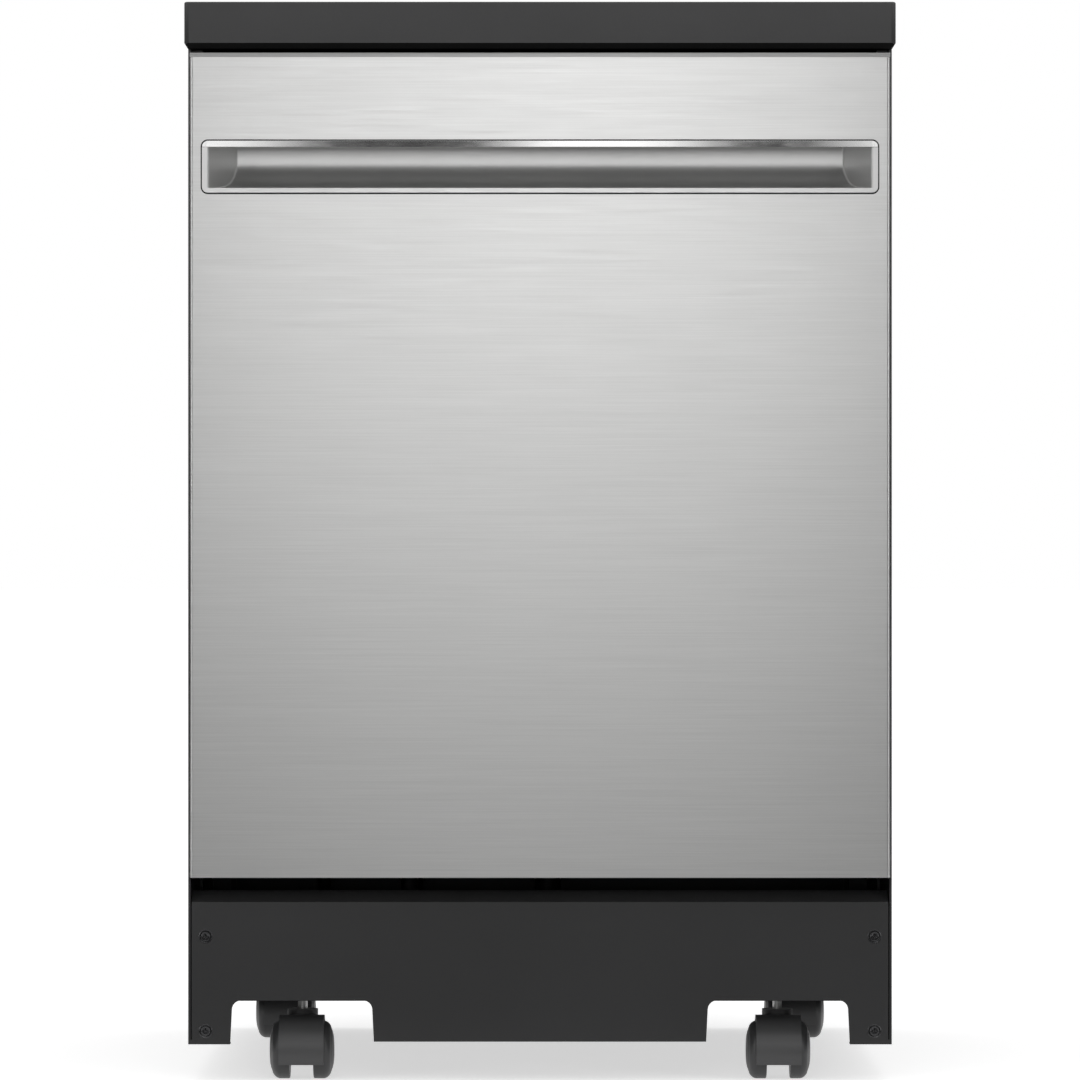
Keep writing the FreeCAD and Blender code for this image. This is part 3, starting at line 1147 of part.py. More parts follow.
def console():
    """The console along the door's top: a plate with the buttons' wells and walls below it."""
    half = DOOR_W / 2
    plate = box(-half, half, FACE_Y, LINER_Y, SKIN_TOP_Z, DOOR_TOP_Z)
    plate = rounded(plate, 1.2, lambda e: e.BoundBox.ZMin > DOOR_TOP_Z - 1e-3)
    x = half - DOOR_EDGE_R
    y0, y1 = console_walls_y()
    z0 = SKIN_TOP_Z - CONSOLE_H
    walls = box(-x, x, y0, y1, z0, SKIN_TOP_Z)
    hollow = box(-x + CONSOLE_WALL, x - CONSOLE_WALL, y0 + CONSOLE_WALL, y1 - CONSOLE_WALL, z0, SKIN_TOP_Z)
    body = join([plate, walls.cut(hollow)])
    wells = []
    y = FACE_Y + BUTTON_BEHIND_FACE
    for x in BUTTON_X:
        wells.append(box(x - BUTTON_W / 2 - RUN_GAP, x + BUTTON_W / 2 + RUN_GAP,
                         y - BUTTON_D / 2 - RUN_GAP, y + BUTTON_D / 2 + RUN_GAP, z0, DOOR_TOP_Z))
    wells.append(box(-DISPLAY_W / 2, DISPLAY_W / 2, y + BUTTON_D, y + BUTTON_D + 12, DOOR_TOP_Z - 0.8, DOOR_TOP_Z))
    return minus(body, wells)


def button(x):
    """A console button, its cap a little proud of the plate, its skirt guided by the well."""
    y = FACE_Y + BUTTON_BEHIND_FACE
    half_x, half_y = BUTTON_W / 2, BUTTON_D / 2
    cap = box(x - half_x, x + half_x, y - half_y, y + half_y, DOOR_TOP_Z + BUTTON_PROUD - BUTTON_T, DOOR_TOP_Z + BUTTON_PROUD)
    cap = rounded(cap, 1.5, lambda e: runs_along(e, Z_AXIS))
    return rounded(cap, 0.5, lambda e: e.BoundBox.ZMin > DOOR_TOP_Z + BUTTON_PROUD - 1e-3)


def handle_trim():
    """The bright frame round the handle pocket; its top bar is rounded in front."""
    y0, y1 = FRONT_Y, FRONT_Y + BEZEL_T
    outer = slab_y(BEZEL_W / 2, BEZEL_BOTTOM_Z, BEZEL_TOP_Z, y0, y1, BEZEL_R)
    hole = slab_y(POCKET_HALF_W, POCKET_LOW_Z, POCKET_HIGH_Z, y0 - 1, y1 + 1, 0.6)
    frame = outer.cut(hole)
    return rounded(frame, 0.6, lambda e: abs(e.BoundBox.YMax - y0) < 1e-4)


def scoop_profile(inset):
    """The pocket's section in (y, z), from the lower lip round to the top, drawn in by inset."""
    y_front = FRONT_Y + BEZEL_T
    deep = y_front + SCOOP_DEPTH - inset
    low = POCKET_LOW_Z + inset
    high = POCKET_HIGH_Z + SCOOP_UNDERCUT - inset
    mid = low + (high - low) * 0.62
    return y_front, deep, low, mid, high


def scoop_solid(inset, half_w, slant):
    """The pocket's hollow grown or shrunk by inset: a curved floor, an upright back, leaning ends."""
    y_front, deep, low, mid, high = scoop_profile(inset)
    centre = V(0, y_front, mid)
    floor_point = V(0, y_front, low)
    back_point = V(0, deep, mid)
    bow = math.sin(math.radians(45))
    mean = V(0, y_front + (deep - y_front) * bow, mid - (mid - low) * bow)
    edges = [Part.Arc(floor_point, mean, back_point).toShape(),
             Part.makeLine(back_point, V(0, deep, high)),
             Part.makeLine(V(0, deep, high), V(0, y_front, high)),
             Part.makeLine(V(0, y_front, high), centre),
             Part.makeLine(centre, floor_point)]
    section = Part.Face(Part.Wire(edges))
    section.translate(V(-half_w, 0, 0))
    body = section.extrude(V(2 * half_w, 0, 0))
    wedges = [end_wedge(sx, half_w, slant, y_front, deep, low - 60, high + 60) for sx in (-1, 1)]
    return minus(body, wedges)


def end_wedge(sx, half_w, slant, y_front, deep, z0, z1):
    """The corner outside a leaning end."""
    far = half_w + 5
    points = [(sx * half_w, y_front, z0), (sx * (half_w - slant), deep, z0),
              (sx * (half_w - slant), deep + 5, z0), (sx * far, deep + 5, z0), (sx * far, y_front, z0)]
    return polygon(points).extrude(V(0, 0, z1 - z0))


def handle_scoop():
    """The pocket behind the frame: a shell that hooks up behind the top bar."""
    hollow = scoop_solid(0.0, POCKET_HALF_W, SCOOP_SLANT)
    outside = scoop_solid(-SCOOP_WALL, POCKET_HALF_W + SCOOP_WALL, SCOOP_SLANT)
    y0 = FRONT_Y + BEZEL_T
    rim = slab_y(BEZEL_W / 2, BEZEL_BOTTOM_Z, BEZEL_TOP_Z + SCOOP_UNDERCUT, y0, y0 + SCOOP_WALL, BEZEL_R)
    rim = rim.cut(slab_y(POCKET_HALF_W, POCKET_LOW_Z, POCKET_HIGH_Z, y0 - 1, y0 + SCOOP_WALL + 1, 0.6))
    flange_gap = FACE_Y + SKIN
    rim = rim.cut(box(-BEZEL_W, BEZEL_W, y0 - 1, flange_gap, BEZEL_TOP_Z, BEZEL_TOP_Z + BEZEL_H))
    shell = join([outside, rim])
    opened = hollow.cut(box(-BEZEL_W, BEZEL_W, y0 - 1, y0 + SCOOP_WALL, POCKET_HIGH_Z, POCKET_HIGH_Z + BEZEL_H))
    return shell.cut(opened)


def door_latch():
    """The strike plate on the back of the liner's upper rim."""
    y1 = LINER_Y - SHEET
    z1 = SKIN_TOP_Z - 2 * LATCH_T
    return box(-LATCH_W / 2, LATCH_W / 2, y1 - LATCH_T, y1, z1 - LATCH_H, z1)


def door_insulation():
    """The sound blanket on the inside of the skin."""
    half = DOOR_W / 2 - SKIN - BLANKET_INSET
    y0 = FACE_Y + SKIN
    z0, z1 = DOOR_BOTTOM_Z + SKIN + BLANKET_INSET, BEZEL_BOTTOM_Z - BLANKET_BELOW_FRAME
    return box(-half, half, y0, y0 + BLANKET_T, z0, z1)


def hinge_strap_y():
    """Front and rear edges of the hinge strap, between the skin's returns and the liner's face."""
    return PIVOT_Y - HINGE_STRAP_D / 2, PIVOT_Y + HINGE_STRAP_D / 2


def hinge_arms():
    """Two straps inside the door's edges, each with the bore that turns on its pin."""
    x0, x1 = HINGE_ARM_X, HINGE_ARM_X + HINGE_ARM_T
    y0, y1 = hinge_strap_y()
    strap = box(x0, x1, y0, y1, PIVOT_Z, PIVOT_Z + HINGE_STRAP_H)
    nose = rod(HINGE_STRAP_D / 2, (x0, PIVOT_Y, PIVOT_Z), (x1, PIVOT_Y, PIVOT_Z))
    tab_y = FACE_Y + DOOR_RETURN
    tab = box(x0 - 3 * HINGE_ARM_T, DOOR_W / 2 - SKIN, tab_y, tab_y + HINGE_ARM_T, LINER_FOOT_Z + SHEET, PIVOT_Z + HINGE_STRAP_H)
    bore = rod(PIN_R + FIT_GAP, (x0 - 1, PIVOT_Y, PIVOT_Z), (x1 + 1, PIVOT_Y, PIVOT_Z))
    return both_sides(join([strap, nose, tab]).cut(bore))


def dispenser_body():
    """The detergent dispenser let into the liner, with its cup and the rinse tank's neck."""
    half = DISP_W / 2
    y1 = LINER_Y + DISP_PROUD
    y0 = y1 - DISP_DEPTH
    body = box(-half + RUN_GAP, half - RUN_GAP, y0, y1, DISP_Z + RUN_GAP, DISP_Z + DISP_H - RUN_GAP)
    flange = slab_y(half + 6, DISP_Z - 6, DISP_Z + DISP_H + 6, DISH_Y, DISH_Y + 3, 6)
    z_mid = DISP_Z + DISP_H / 2
    cup = box(CUP_X - CUP_W / 2, CUP_X + CUP_W / 2, y1 - CUP_DEPTH, y1 + 1, z_mid - CUP_H / 2, z_mid + CUP_H / 2)
    cup = rounded(cup, 6, lambda e: runs_along(e, Y_AXIS))
    neck = rod(CAP_R - 3, (CAP_X, y1 - 14, z_mid), (CAP_X, y1 + 1, z_mid))
    return minus(join([body, flange]), [cup, neck])


def dispenser_lid():
    """The lid that slides down off the cup."""
    y0 = LINER_Y + DISP_PROUD + RUN_GAP
    z_mid = DISP_Z + DISP_H / 2
    half_w, half_h = CUP_W / 2 + LID_LAP, CUP_H / 2 + LID_LAP
    lid = box(CUP_X - half_w, CUP_X + half_w, y0, y0 + LID_T, z_mid - half_h, z_mid + half_h)
    lid = rounded(lid, 5, lambda e: runs_along(e, Y_AXIS))
    grip = box(CUP_X - 18, CUP_X + 18, y0 + LID_T, y0 + LID_T + 3, z_mid + half_h - 14, z_mid + half_h - 9)
    return join([lid, grip])


def rinse_cap():
    """The rinse aid cap, a quarter-turn plug with a finger bar."""
    y1 = LINER_Y + DISP_PROUD
    z_mid = DISP_Z + DISP_H / 2
    plug = rod(CAP_R - 3 - RUN_GAP, (CAP_X, y1 - 10, z_mid), (CAP_X, y1 + RUN_GAP, z_mid))
    head = rod(CAP_R, (CAP_X, y1 + RUN_GAP, z_mid), (CAP_X, y1 + CAP_T * 0.6, z_mid))
    bar = box(CAP_X - 3, CAP_X + 3, y1 + CAP_T * 0.5, y1 + CAP_T, z_mid - CAP_R * 0.85, z_mid + CAP_R * 0.85)
    return join([plug, head, bar])


# ================================================================ hinge side
def hinge_brackets():
    """Two brackets beside the tub, each with the pin that the hinge arm turns on."""
    x0 = HINGE_ARM_X - RUN_GAP - HINGE_BRACKET_T
    x1 = HINGE_ARM_X - RUN_GAP
    nose_r = PIN_R + 1.5
    low, high = PIVOT_Z - nose_r, PIVOT_Z + nose_r
    plate = box(x0, x1, PIVOT_Y, PIVOT_Y + SPRING_BEHIND_PIVOT, low, high)
    nose = rod(nose_r, (x0, PIVOT_Y, PIVOT_Z), (x1, PIVOT_Y, PIVOT_Z))
    pin = rod(PIN_R, (x0, PIVOT_Y, PIVOT_Z), (HINGE_ARM_X + HINGE_ARM_T + 1, PIVOT_Y, PIVOT_Z))
    tab = box(x0 - TUB_FLANGE / 2, x1, TUB_FRONT_Y - HINGE_BRACKET_T, TUB_FRONT_Y, low, TUB_FLOOR_Z - 2)
    return both_sides(join([plate, nose, pin, tab]))


def latch_keeper():
    """The latch box under the top rail, over the tub's mouth."""
    y0 = TUB_FRONT_Y + SHEET
    return box(-KEEPER_W / 2, KEEPER_W / 2, y0, y0 + KEEPER_D, TUB_TOP_Z + SHEET, CAB_TOP_Z - SHEET)


def spring_x():
    """The springs hang on the hinge brackets' plates."""
    return HINGE_ARM_X - RUN_GAP - HINGE_BRACKET_T / 2


def door_springs():
    """The two balance springs beside the tub, between the hinge brackets and the tray's lugs."""
    x, z = spring_x(), PIVOT_Z
    y0 = PIVOT_Y + SPRING_BEHIND_PIVOT
    y1 = y0 + SPRING_LENGTH
    coil = ring(SPRING_R, SPRING_R - SPRING_WIRE, (x, y0, z), (x, y1, z))
    caps = [rod(SPRING_R, (x, y0, z), (x, y0 + SPRING_WIRE, z)), rod(SPRING_R, (x, y1 - SPRING_WIRE, z), (x, y1, z))]
    tail = rod(SPRING_WIRE / 2, (x, y1 - SPRING_WIRE, z), (x, y1 + SPRING_TAIL, z))
    return both_sides(join([coil, tail] + caps))


# ================================================================ racks
def lower_rack():
    rows_from = RACK_FRONT_Y + BASKET_D + LOWER_TINE_END
    rows_to = RACK_FRONT_Y + LOWER_RACK_D - LOWER_TINE_END
    return wire_basket(LOWER_RACK_D, LOWER_RACK_Z, LOWER_RACK_H, rows_from, rows_to, LOWER_TINE_H)


def lower_wheel_places():
    """Y of the front and the rear wheels' axles."""
    return RACK_FRONT_Y + RACK_WHEEL_SETBACK, RACK_FRONT_Y + LOWER_RACK_D - RACK_WHEEL_SETBACK / 2


def rack_wheel_brackets():
    """Four brackets under the lower rack's sides, each with a stub axle and its head."""
    z = TUB_FLOOR_Z + RUN_GAP + RACK_WHEEL_R
    half = RACK_WHEEL_R / 2
    inner = RACK_W / 2 - WIRE
    head = RACK_W / 2 + 2 * RACK_WHEEL_PLAY + RACK_WHEEL_T
    tip = head + AXLE_HEAD_T
    made = []
    for y in lower_wheel_places():
        plate = box(inner, RACK_W / 2, y - half, y + half, z - half, LOWER_RACK_Z)
        axle = rod(RACK_AXLE_R, (inner, y, z), (tip, y, z))
        cap = rod(RACK_AXLE_R + 2, (head, y, z), (tip, y, z))
        made += both_sides(join([plate, axle, cap]))
    return made


def rack_wheels(y):
    """The left and right wheel on one axle line."""
    z = TUB_FLOOR_Z + RUN_GAP + RACK_WHEEL_R
    x = RACK_W / 2 + RACK_WHEEL_PLAY
    return both_sides(ring(RACK_WHEEL_R, RACK_AXLE_R + FIT_GAP, (x, y, z), (x + RACK_WHEEL_T, y, z)))


def basket_slots(x, cell_w, y0, y1, z0):
    """Two rows of slots through the front and the rear wall of one cell."""
    half = BASKET_SLOT_W / 2
    rim = BASKET_WALL + BASKET_R
    rows = [(z0 + rim, z0 + BASKET_H * 0.45), (z0 + BASKET_H * 0.55, z0 + BASKET_H - rim)]
    places = spread(x + BASKET_R, x + cell_w - BASKET_R, BASKET_SLOT_PITCH)
    return [box(place - half, place + half, y0 - 1, y1 + 1, low, high) for place in places for low, high in rows]


def silverware_basket():
    """The cutlery basket at the front of the lower rack: cells, slotted walls and a carrying bar."""
    half = BASKET_W / 2
    y0 = RACK_FRONT_Y + WIRE + BASKET_FRONT_GAP
    y1 = y0 + BASKET_D
    z0 = LOWER_RACK_Z + WIRE + RUN_GAP
    z1 = z0 + BASKET_H
    pitch = (BASKET_W - BASKET_WALL) / BASKET_CELLS
    cell_w = pitch - BASKET_WALL
    hollows = []
    for i in range(BASKET_CELLS):
        x = BASKET_WALL - half + i * pitch
        hollows.append(box(x, x + cell_w, y0 + BASKET_WALL, y1 - BASKET_WALL, z0 + BASKET_WALL, z1))
        hollows += basket_slots(x, cell_w, y0, y1, z0)
    grip = pitch * (BASKET_CELLS / 2 - 1)
    top = z1 + BASKET_GRIP_H
    bar_y0, bar_y1 = (y0 + y1 - BASKET_GRIP_T) / 2, (y0 + y1 + BASKET_GRIP_T) / 2
    bar = box(-grip, grip, bar_y0, bar_y1, top - BASKET_GRIP_T, top)
    legs = both_sides(box(grip - BASKET_WALL, grip + BASKET_WALL, bar_y0, bar_y1, z0 + BASKET_H / 2, top))
    tray = slab_z(-half, half, y0, y1, z0, z1, BASKET_R)
    return join([minus(tray, hollows), bar] + legs)


def upper_rack():
    rows_from = RACK_FRONT_Y + UPPER_TINE_FRONT
    rows_to = RACK_FRONT_Y + UPPER_RACK_D - UPPER_TINE_REAR
    return wire_basket(UPPER_RACK_D, UPPER_RACK_Z, UPPER_RACK_H, rows_from, rows_to, UPPER_TINE_H)


def rail_web_faces():
    return RAIL_X - RAIL_T / 2, RAIL_X + RAIL_T / 2


def upper_rails():
    """The two rails of the upper rack: a channel on each side of a web."""
    x0, x1 = rail_web_faces()
    y0 = RACK_FRONT_Y
    y1 = y0 + RAIL_LENGTH
    web = box(x0, x1, y0, y1, RAIL_Z, RAIL_Z + RAIL_H)
    low = box(RAIL_X - RAIL_FLANGE, RAIL_X + RAIL_FLANGE, y0, y1, RAIL_Z, RAIL_Z + RAIL_T)
    high = box(RAIL_X - RAIL_FLANGE, RAIL_X + RAIL_FLANGE, y0, y1, RAIL_Z + RAIL_H - RAIL_T, RAIL_Z + RAIL_H)
    return both_sides(join([web, low, high]))


def roller_r():
    return RAIL_H / 2 - RAIL_T - RUN_GAP


def rail_rollers():
    """Four rollers on the tub's walls, which the rails run on, each with its stud."""
    _, x = rail_web_faces()
    x += RUN_GAP
    z = RAIL_Z + RAIL_H / 2
    made = []
    front = RACK_FRONT_Y + RAIL_ROLLER_FRONT
    for y in (front, front + RAIL_ROLLER_PITCH):
        wheel = rod(roller_r(), (x, y, z), (x + ROLLER_T, y, z))
        stud = rod(ROLLER_STUD_R, (x, y, z), (TUB_IN_X, y, z))
        made += both_sides(join([wheel, stud]))
    return made


def rack_rollers():
    """Four rollers on the upper rack's sides, which run in the rails' inner channels."""
    x, _ = rail_web_faces()
    x -= RUN_GAP
    z = RAIL_Z + RAIL_H / 2
    rear = RACK_FRONT_Y + UPPER_RACK_D - RACK_ROLLER_REAR
    made = []
    for y in (rear - RACK_ROLLER_PITCH, rear):
        wheel = rod(roller_r(), (x - ROLLER_T, y, z), (x, y, z))
        stud = rod(ROLLER_STUD_R, (RACK_W / 2, y, z), (x, y, z))
        made += both_sides(join([wheel, stud]))
    return made


# ================================================================ assembly
def nodes():
    """Every sub-part of the machine, by node name."""
    front_y, rear_y = lower_wheel_places()
    made = {
        "worktop": [worktop()],
        "side_panel_left": [side_panel(-1)],
        "side_panel_right": [side_panel(1)],
        "rear_panel": [rear_panel()],
        "top_rail": [top_rail()],
        "base_tray": base_tray() + toe_brackets(),
        "toe_panel": [toe_panel()],
        "panel_screws": panel_screws(),
        "tub": tub(),
        "tub_gasket": [tub_gasket()],
        "sump": [sump()],
        "circulation_pump": [circulation_pump()],
        "drain_pump": [drain_pump()],
        "heating_element": [heating_element()],
        "spray_feed_tube": [spray_feed_tube()],
        "inlet_valve": [inlet_valve()],
        "hose_pocket": [hose_pocket()],
        "pocket_fittings": pocket_fittings(),
        "plumbing_hoses": plumbing_hoses(),
        "hinge_brackets": hinge_brackets(),
        "door_springs": door_springs(),
        "latch_keeper": [latch_keeper()],
        "rail_rollers": rail_rollers(),
        "caster_stems": caster_stems(),
        "door_outer_panel": [door_outer_panel()],
        "door_inner_panel": door_inner_panel(),
        "door_console": [console()],
        "control_board": [control_board()],
        "door_insulation": [door_insulation()],
        "door_latch": [door_latch()],
        "handle_trim": [handle_trim()],
        "handle_scoop": [handle_scoop()],
        "hinge_arms": hinge_arms(),
        "dispenser_body": [dispenser_body()],
        "dispenser_lid": [dispenser_lid()],
        "rinse_cap": [rinse_cap()],
        "lower_rack": lower_rack(),
        "rack_wheel_brackets": rack_wheel_brackets(),
        "rack_wheels_front": rack_wheels(front_y),
        "rack_wheels_rear": rack_wheels(rear_y),
        "silverware_basket": [silverware_basket()],
        "upper_rack": upper_rack(),
        "rack_rollers": rack_rollers(),
        "upper_rails": upper_rails(),
        "upper_manifold": [upper_manifold()],
        "middle_spray_arm": [spray_arm(MIDDLE_ARM_R, MIDDLE_ARM_Z, HUB_POST_R)],
        "lower_spray_arm": [spray_arm(ARM_R, LOWER_ARM_Z, HUB_POST_R)],
        "filter_basket": [filter_basket()],
        "float_dome": [float_dome()],
    }
    for name, x in zip(BUTTON_NAMES, BUTTON_X):
        made["button_" + name] = [button(x)]
    for name, (x, y) in caster_places().items():
        made["caster_hood_" + name] = [moved(caster_hood(), x, y)]
        made["caster_wheels_" + name] = [moved(s, x, y) for s in caster_wheels()]
    return made


def main():
    os.makedirs("parts", exist_ok=True)
    for name, solids in nodes().items():
        flat = [s for shape in solids for s in shape.Solids]
        shape = flat[0] if len(flat) == 1 else Part.makeCompound(flat)
        good = all(s.isValid() and s.Volume > 0 for s in flat)
        print(f"{name}: {len(flat)} solid(s), valid {good}")
        shape.exportStep(os.path.join("parts", name + ".step"))


main()
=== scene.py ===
"""The portable dishwasher's looks: materials, finer forms in place of some CAD nodes (handle, soft edges,
screws, fittings, wire racks, wheels, rollers, springs), small pieces beside others (console marks, display,
painted shade as black strips in the gaps round the handle and beside the toe panel, top bar), and a plain
studio. Lengths are in metres, in the CAD model's frame."""

import math

import bpy
import bmesh
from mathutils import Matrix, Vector


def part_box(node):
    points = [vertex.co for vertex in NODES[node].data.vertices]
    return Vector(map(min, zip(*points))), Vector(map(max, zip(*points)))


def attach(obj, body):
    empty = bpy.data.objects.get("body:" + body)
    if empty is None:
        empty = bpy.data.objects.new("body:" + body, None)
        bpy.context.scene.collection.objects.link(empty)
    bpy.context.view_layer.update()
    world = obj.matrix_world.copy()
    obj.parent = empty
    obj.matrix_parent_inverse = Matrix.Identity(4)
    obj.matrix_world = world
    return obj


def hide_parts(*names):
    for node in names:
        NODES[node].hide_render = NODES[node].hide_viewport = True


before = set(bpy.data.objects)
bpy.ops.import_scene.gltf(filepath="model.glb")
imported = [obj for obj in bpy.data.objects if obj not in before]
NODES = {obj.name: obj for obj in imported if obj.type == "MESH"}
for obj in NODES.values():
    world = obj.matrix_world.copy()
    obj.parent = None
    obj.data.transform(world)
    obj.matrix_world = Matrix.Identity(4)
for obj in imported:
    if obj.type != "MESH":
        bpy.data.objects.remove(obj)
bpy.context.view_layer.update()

MM = 0.001
EVEN = (1, 1, 1)  # a noise that isn't stretched

# ---- photograph's view
CAMERA_DISTANCE = 5.5  # from the door's face
CAMERA_HEIGHT = 0.466
CAMERA_CLIP = 60
SENSOR = 36.0  # in millimetres
VIEW_WIDTH = 0.9234  # seen at the door's face
DOOR_FACE_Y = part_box("door_outer_panel")[0].y

# ---- studio
WORLD_LEVEL = 0.5
FLOOR_SIZE = 60  # half its side
FLOOR_LIFT = (0.6, 0.64)  # added to the floor's white near the machine and far from it
FLOOR_LIFT_REACH = (0.6, 5.0)
SHEET_FOOT = 3 * MM  # how high the dark sheets begin
COVE_NEAR = 0.38  # the cloth's front edge, from the origin
COVE_FAR = 8.0
COVE_TOP = 6.0
COVE_HALF_WIDTH = 6.0
FLAG_X = 1.3  # the dark sheets at the machine's sides
FLAG_NEAR = -0.35
FLAG_FAR = 2.6
FLAG_TOP = 1.1
STRIP_Y = -1.2
STRIP_Z = (1.14, 1.56)
STRIP_HALF_WIDTH = 0.42
STRIP_LEFT = (-0.2, -0.335)  # where each strip's glow begins and is full, along x
STRIP_CENTRE_RISE = (-0.08, 0.02)
STRIP_CENTRE_FALL = (0.235, 0.1)
STRIP_RIGHT = (0.25, 0.395)
STRIP_DARK = 0.07
STRIP_BRIGHT = 1.32
STRIP_ENDS = 0.84  # how bright the outer strips are beside the centre one
MIDDLE = (0, 0, 0.5)  # of the machine, for the lamps to point at
LAMPS = (  # name, place, target, width, height, watts, seen in gloss
    ("softbox_front", (0, -3.0, 1.08), (0, DOOR_FACE_Y, 1.08), 1.0, 0.62, 6.9, True),
    ("softbox_near", (0, -1.6, 0.72), (0, DOOR_FACE_Y, 0.72), 1.8, 0.4, 0.5, True),
    ("low_front", (-0.5, -4.6, 0.3), (0, DOOR_FACE_Y, 0.3), 3.4, 0.3, 4.5, True),
    ("left_fill", (-1.0, -3.0, 0.62), (0, DOOR_FACE_Y, 0.62), 0.7, 0.6, 0.8, True),
    ("side_left", (-3.4, -2.0, 1.5), MIDDLE, 3.0, 2.6, 33, False),
    ("side_right", (3.4, -2.0, 1.5), MIDDLE, 3.0, 2.6, 33, False),
    ("edge_left", (-2.4, -2.5, 0.6), (-0.3, DOOR_FACE_Y, 0.5), 0.4, 1.6, 6.5, True),
    ("edge_right", (2.4, -2.5, 0.6), (0.3, DOOR_FACE_Y, 0.5), 0.4, 1.6, 6.5, True),
    ("low_fill", (0, -0.9, 0.42), (0, -0.26, 0.05), 1.6, 0.15, 0.8, False),
    ("over", (0, 0.2, 3.4), MIDDLE, 2.6, 2.6, 16, True),
)

# ---- meshes
CAD_JOIN = 1e-6  # corners nearer than this are one, in a CAD mesh
OWN_JOIN = 1e-7  # and in the scene's own
FLAT = 0.5  # CAD faces that meet at less are one
TINY = 1e-6  # for divisors
CAD_CRISP = 30  # edges sharper than this stay crisp, in a CAD node's copy
CRISP = 35  # in the scene's own meshes
TRIM_CRISP = 15  # and in the handle's bars
TURN_STEPS = 48
BEND_STEPS = (0.0, 0.2, 0.4, 0.6, 0.8, 1.0)

# ---- handle
FRAME_SIDE = 5.2 * MM  # widths of the frame's bars
FRAME_TOP = 5.4 * MM
FRAME_BOTTOM = 4.3 * MM
FRAME_R = 5.0 * MM  # outer corners
FRAME_INNER_R = 0.6 * MM
FRAME_EDGE = 0.25 * MM
FRAME_GAP = 0.25 * MM  # between the frame's sides and its top bar
FRAME_SECTION = ((0.0, 1), (0.02, 0.3), (0.06, 0), (0.88, 0), (0.96, 0.5), (1.0, 3))  # of width, of edge
GRIP_LEAN = 1.35 * MM  # the top bar's upper edge stands back by this
# the black strip round the handle: painted shade of the gap round its frame, made as a rubber seal
GAP_SHADE_W = 1.15 * MM
GAP_SHADE_PROUD = 0.1 * MM
GAP_SHADE_RINGS = ((-2.0 * MM, 1.6 * MM), (-0.05 * MM, 0), (GAP_SHADE_W, 0), (GAP_SHADE_W, 0.12 * MM), (0, 0.3 * MM))
GAP_SHADE_LEAST_R = 1 * MM
POCKET_DEPTH = 38 * MM
POCKET_FLOOR_RISE = 1.6 * MM
POCKET_BEND = 22 * MM  # radius between the pocket's floor and back
POCKET_ROOF_R = 3 * MM
POCKET_SLANT = 0.6  # how far the ends lean in per depth
POCKET_PAST = 2 * MM  # the ends' columns go this far past the back
POCKET_FILLET = 1.4 * MM
POCKET_UNDERCUT = 9 * MM
POCKET_WALL = 1.5 * MM
# the pocket's light-grey beads: a painted highlight along its inner corners
BEAD_R = 0.28 * MM
BEAD_START = 8 * MM
BEAD_PROUD = 0.6 * MM

# ---- cabinet
WORKTOP_ARRIS = 1.3 * MM
PANEL_SOFT = 0.8 * MM  # rounding of the panels' edges
TOE_SOFT = 1.3 * MM
ON_FACE = 0.1 * MM  # an edge nearer than this to a face lies on it
UPRIGHT = 0.9  # least rise of an upright edge per length
DOWNWARD = -0.2  # faces whose normal's z is less get the laminate's core, which also paints the shade under the worktop
SCREW_RISE = 1.9 * MM  # height of a screw's head
SCREW_STEPS = 96
SCREW_CROSS = (0.62, 0.18)  # the recess's half length and half width, of the head's radius
SCREW_RECESS = ((0.35, -0.85), (0.85, -0.8), (1.0, 0.0))  # share of its reach, height from the head's top
SCREW_CROWN = ((0.7, -0.08), (0.86, -0.25), (0.96, -0.52), (1.0, -0.8), (1.0, -1.0))  # share of the radius
SCREW_SEAT = ((1.02, -0.98), (1.22, -0.86), (1.36, -1.0))
TOP_BAR_PROUD = 0.3 * MM
TOP_BAR_DEPTH = 7 * MM
TOP_BAR_R = 1.4 * MM
TOP_BAR_LAP = 0.5 * MM  # how far it reaches into the console plate
# the black rods in the toe panel's side gaps: painted shade, made as rubber piping
TOE_SHADE_R = 1.1 * MM
TOE_SHADE_BACK = 3.2 * MM  # from the toe panel's front
TOE_SHADE_FOOT = 0.8 * MM
TOE_SHADE_TOP = 12 * MM
TOE_SHADE_LAP = 0.05 * MM

# ---- hose pocket's fittings
FITTING_FLOOR = 6 * MM  # height of the flange's underside
FLANGE_W = 4 * MM
FLANGE_T = 2 * MM
RIBS = 7
RIB_PITCH = 4 * MM
RIB_DEPTH = 1.4 * MM
THREADS = 11
THREAD_START = 7 * MM
THREAD_DEPTH = 0.9 * MM
BARBS = 4
BARB_START = 8 * MM
BARB_PITCH = 6 * MM
BARB_DEPTH = 1.4 * MM

# ---- console
INK_FILM = 0.05 * MM
INK_LIFT = 0.03 * MM
MARK_LINE = 0.45 * MM
MARK_R = 1.7 * MM
MARK_STEPS = 24
DISPLAY_HALF = 31.4 * MM
DISPLAY_NEAR = 5 * MM  # behind the buttons
DISPLAY_FAR = 16 * MM
DISPLAY_RIM = ((0.0, -0.7 * MM), (0.0, -0.1 * MM), (0.3 * MM, 0.0))  # inset, height
PIPE_GAP = 12 * MM  # from the display's end to the first light pipe
PIPE_PITCH = 8 * MM
PIPE_LAP = 0.1 * MM
PIPE_DOME = ((0.0, 0.0), (0.0, 1.1 * MM), (0.25 * MM, 1.0 * MM), (0.45 * MM, 0.6 * MM), (0.5 * MM, 0.0))

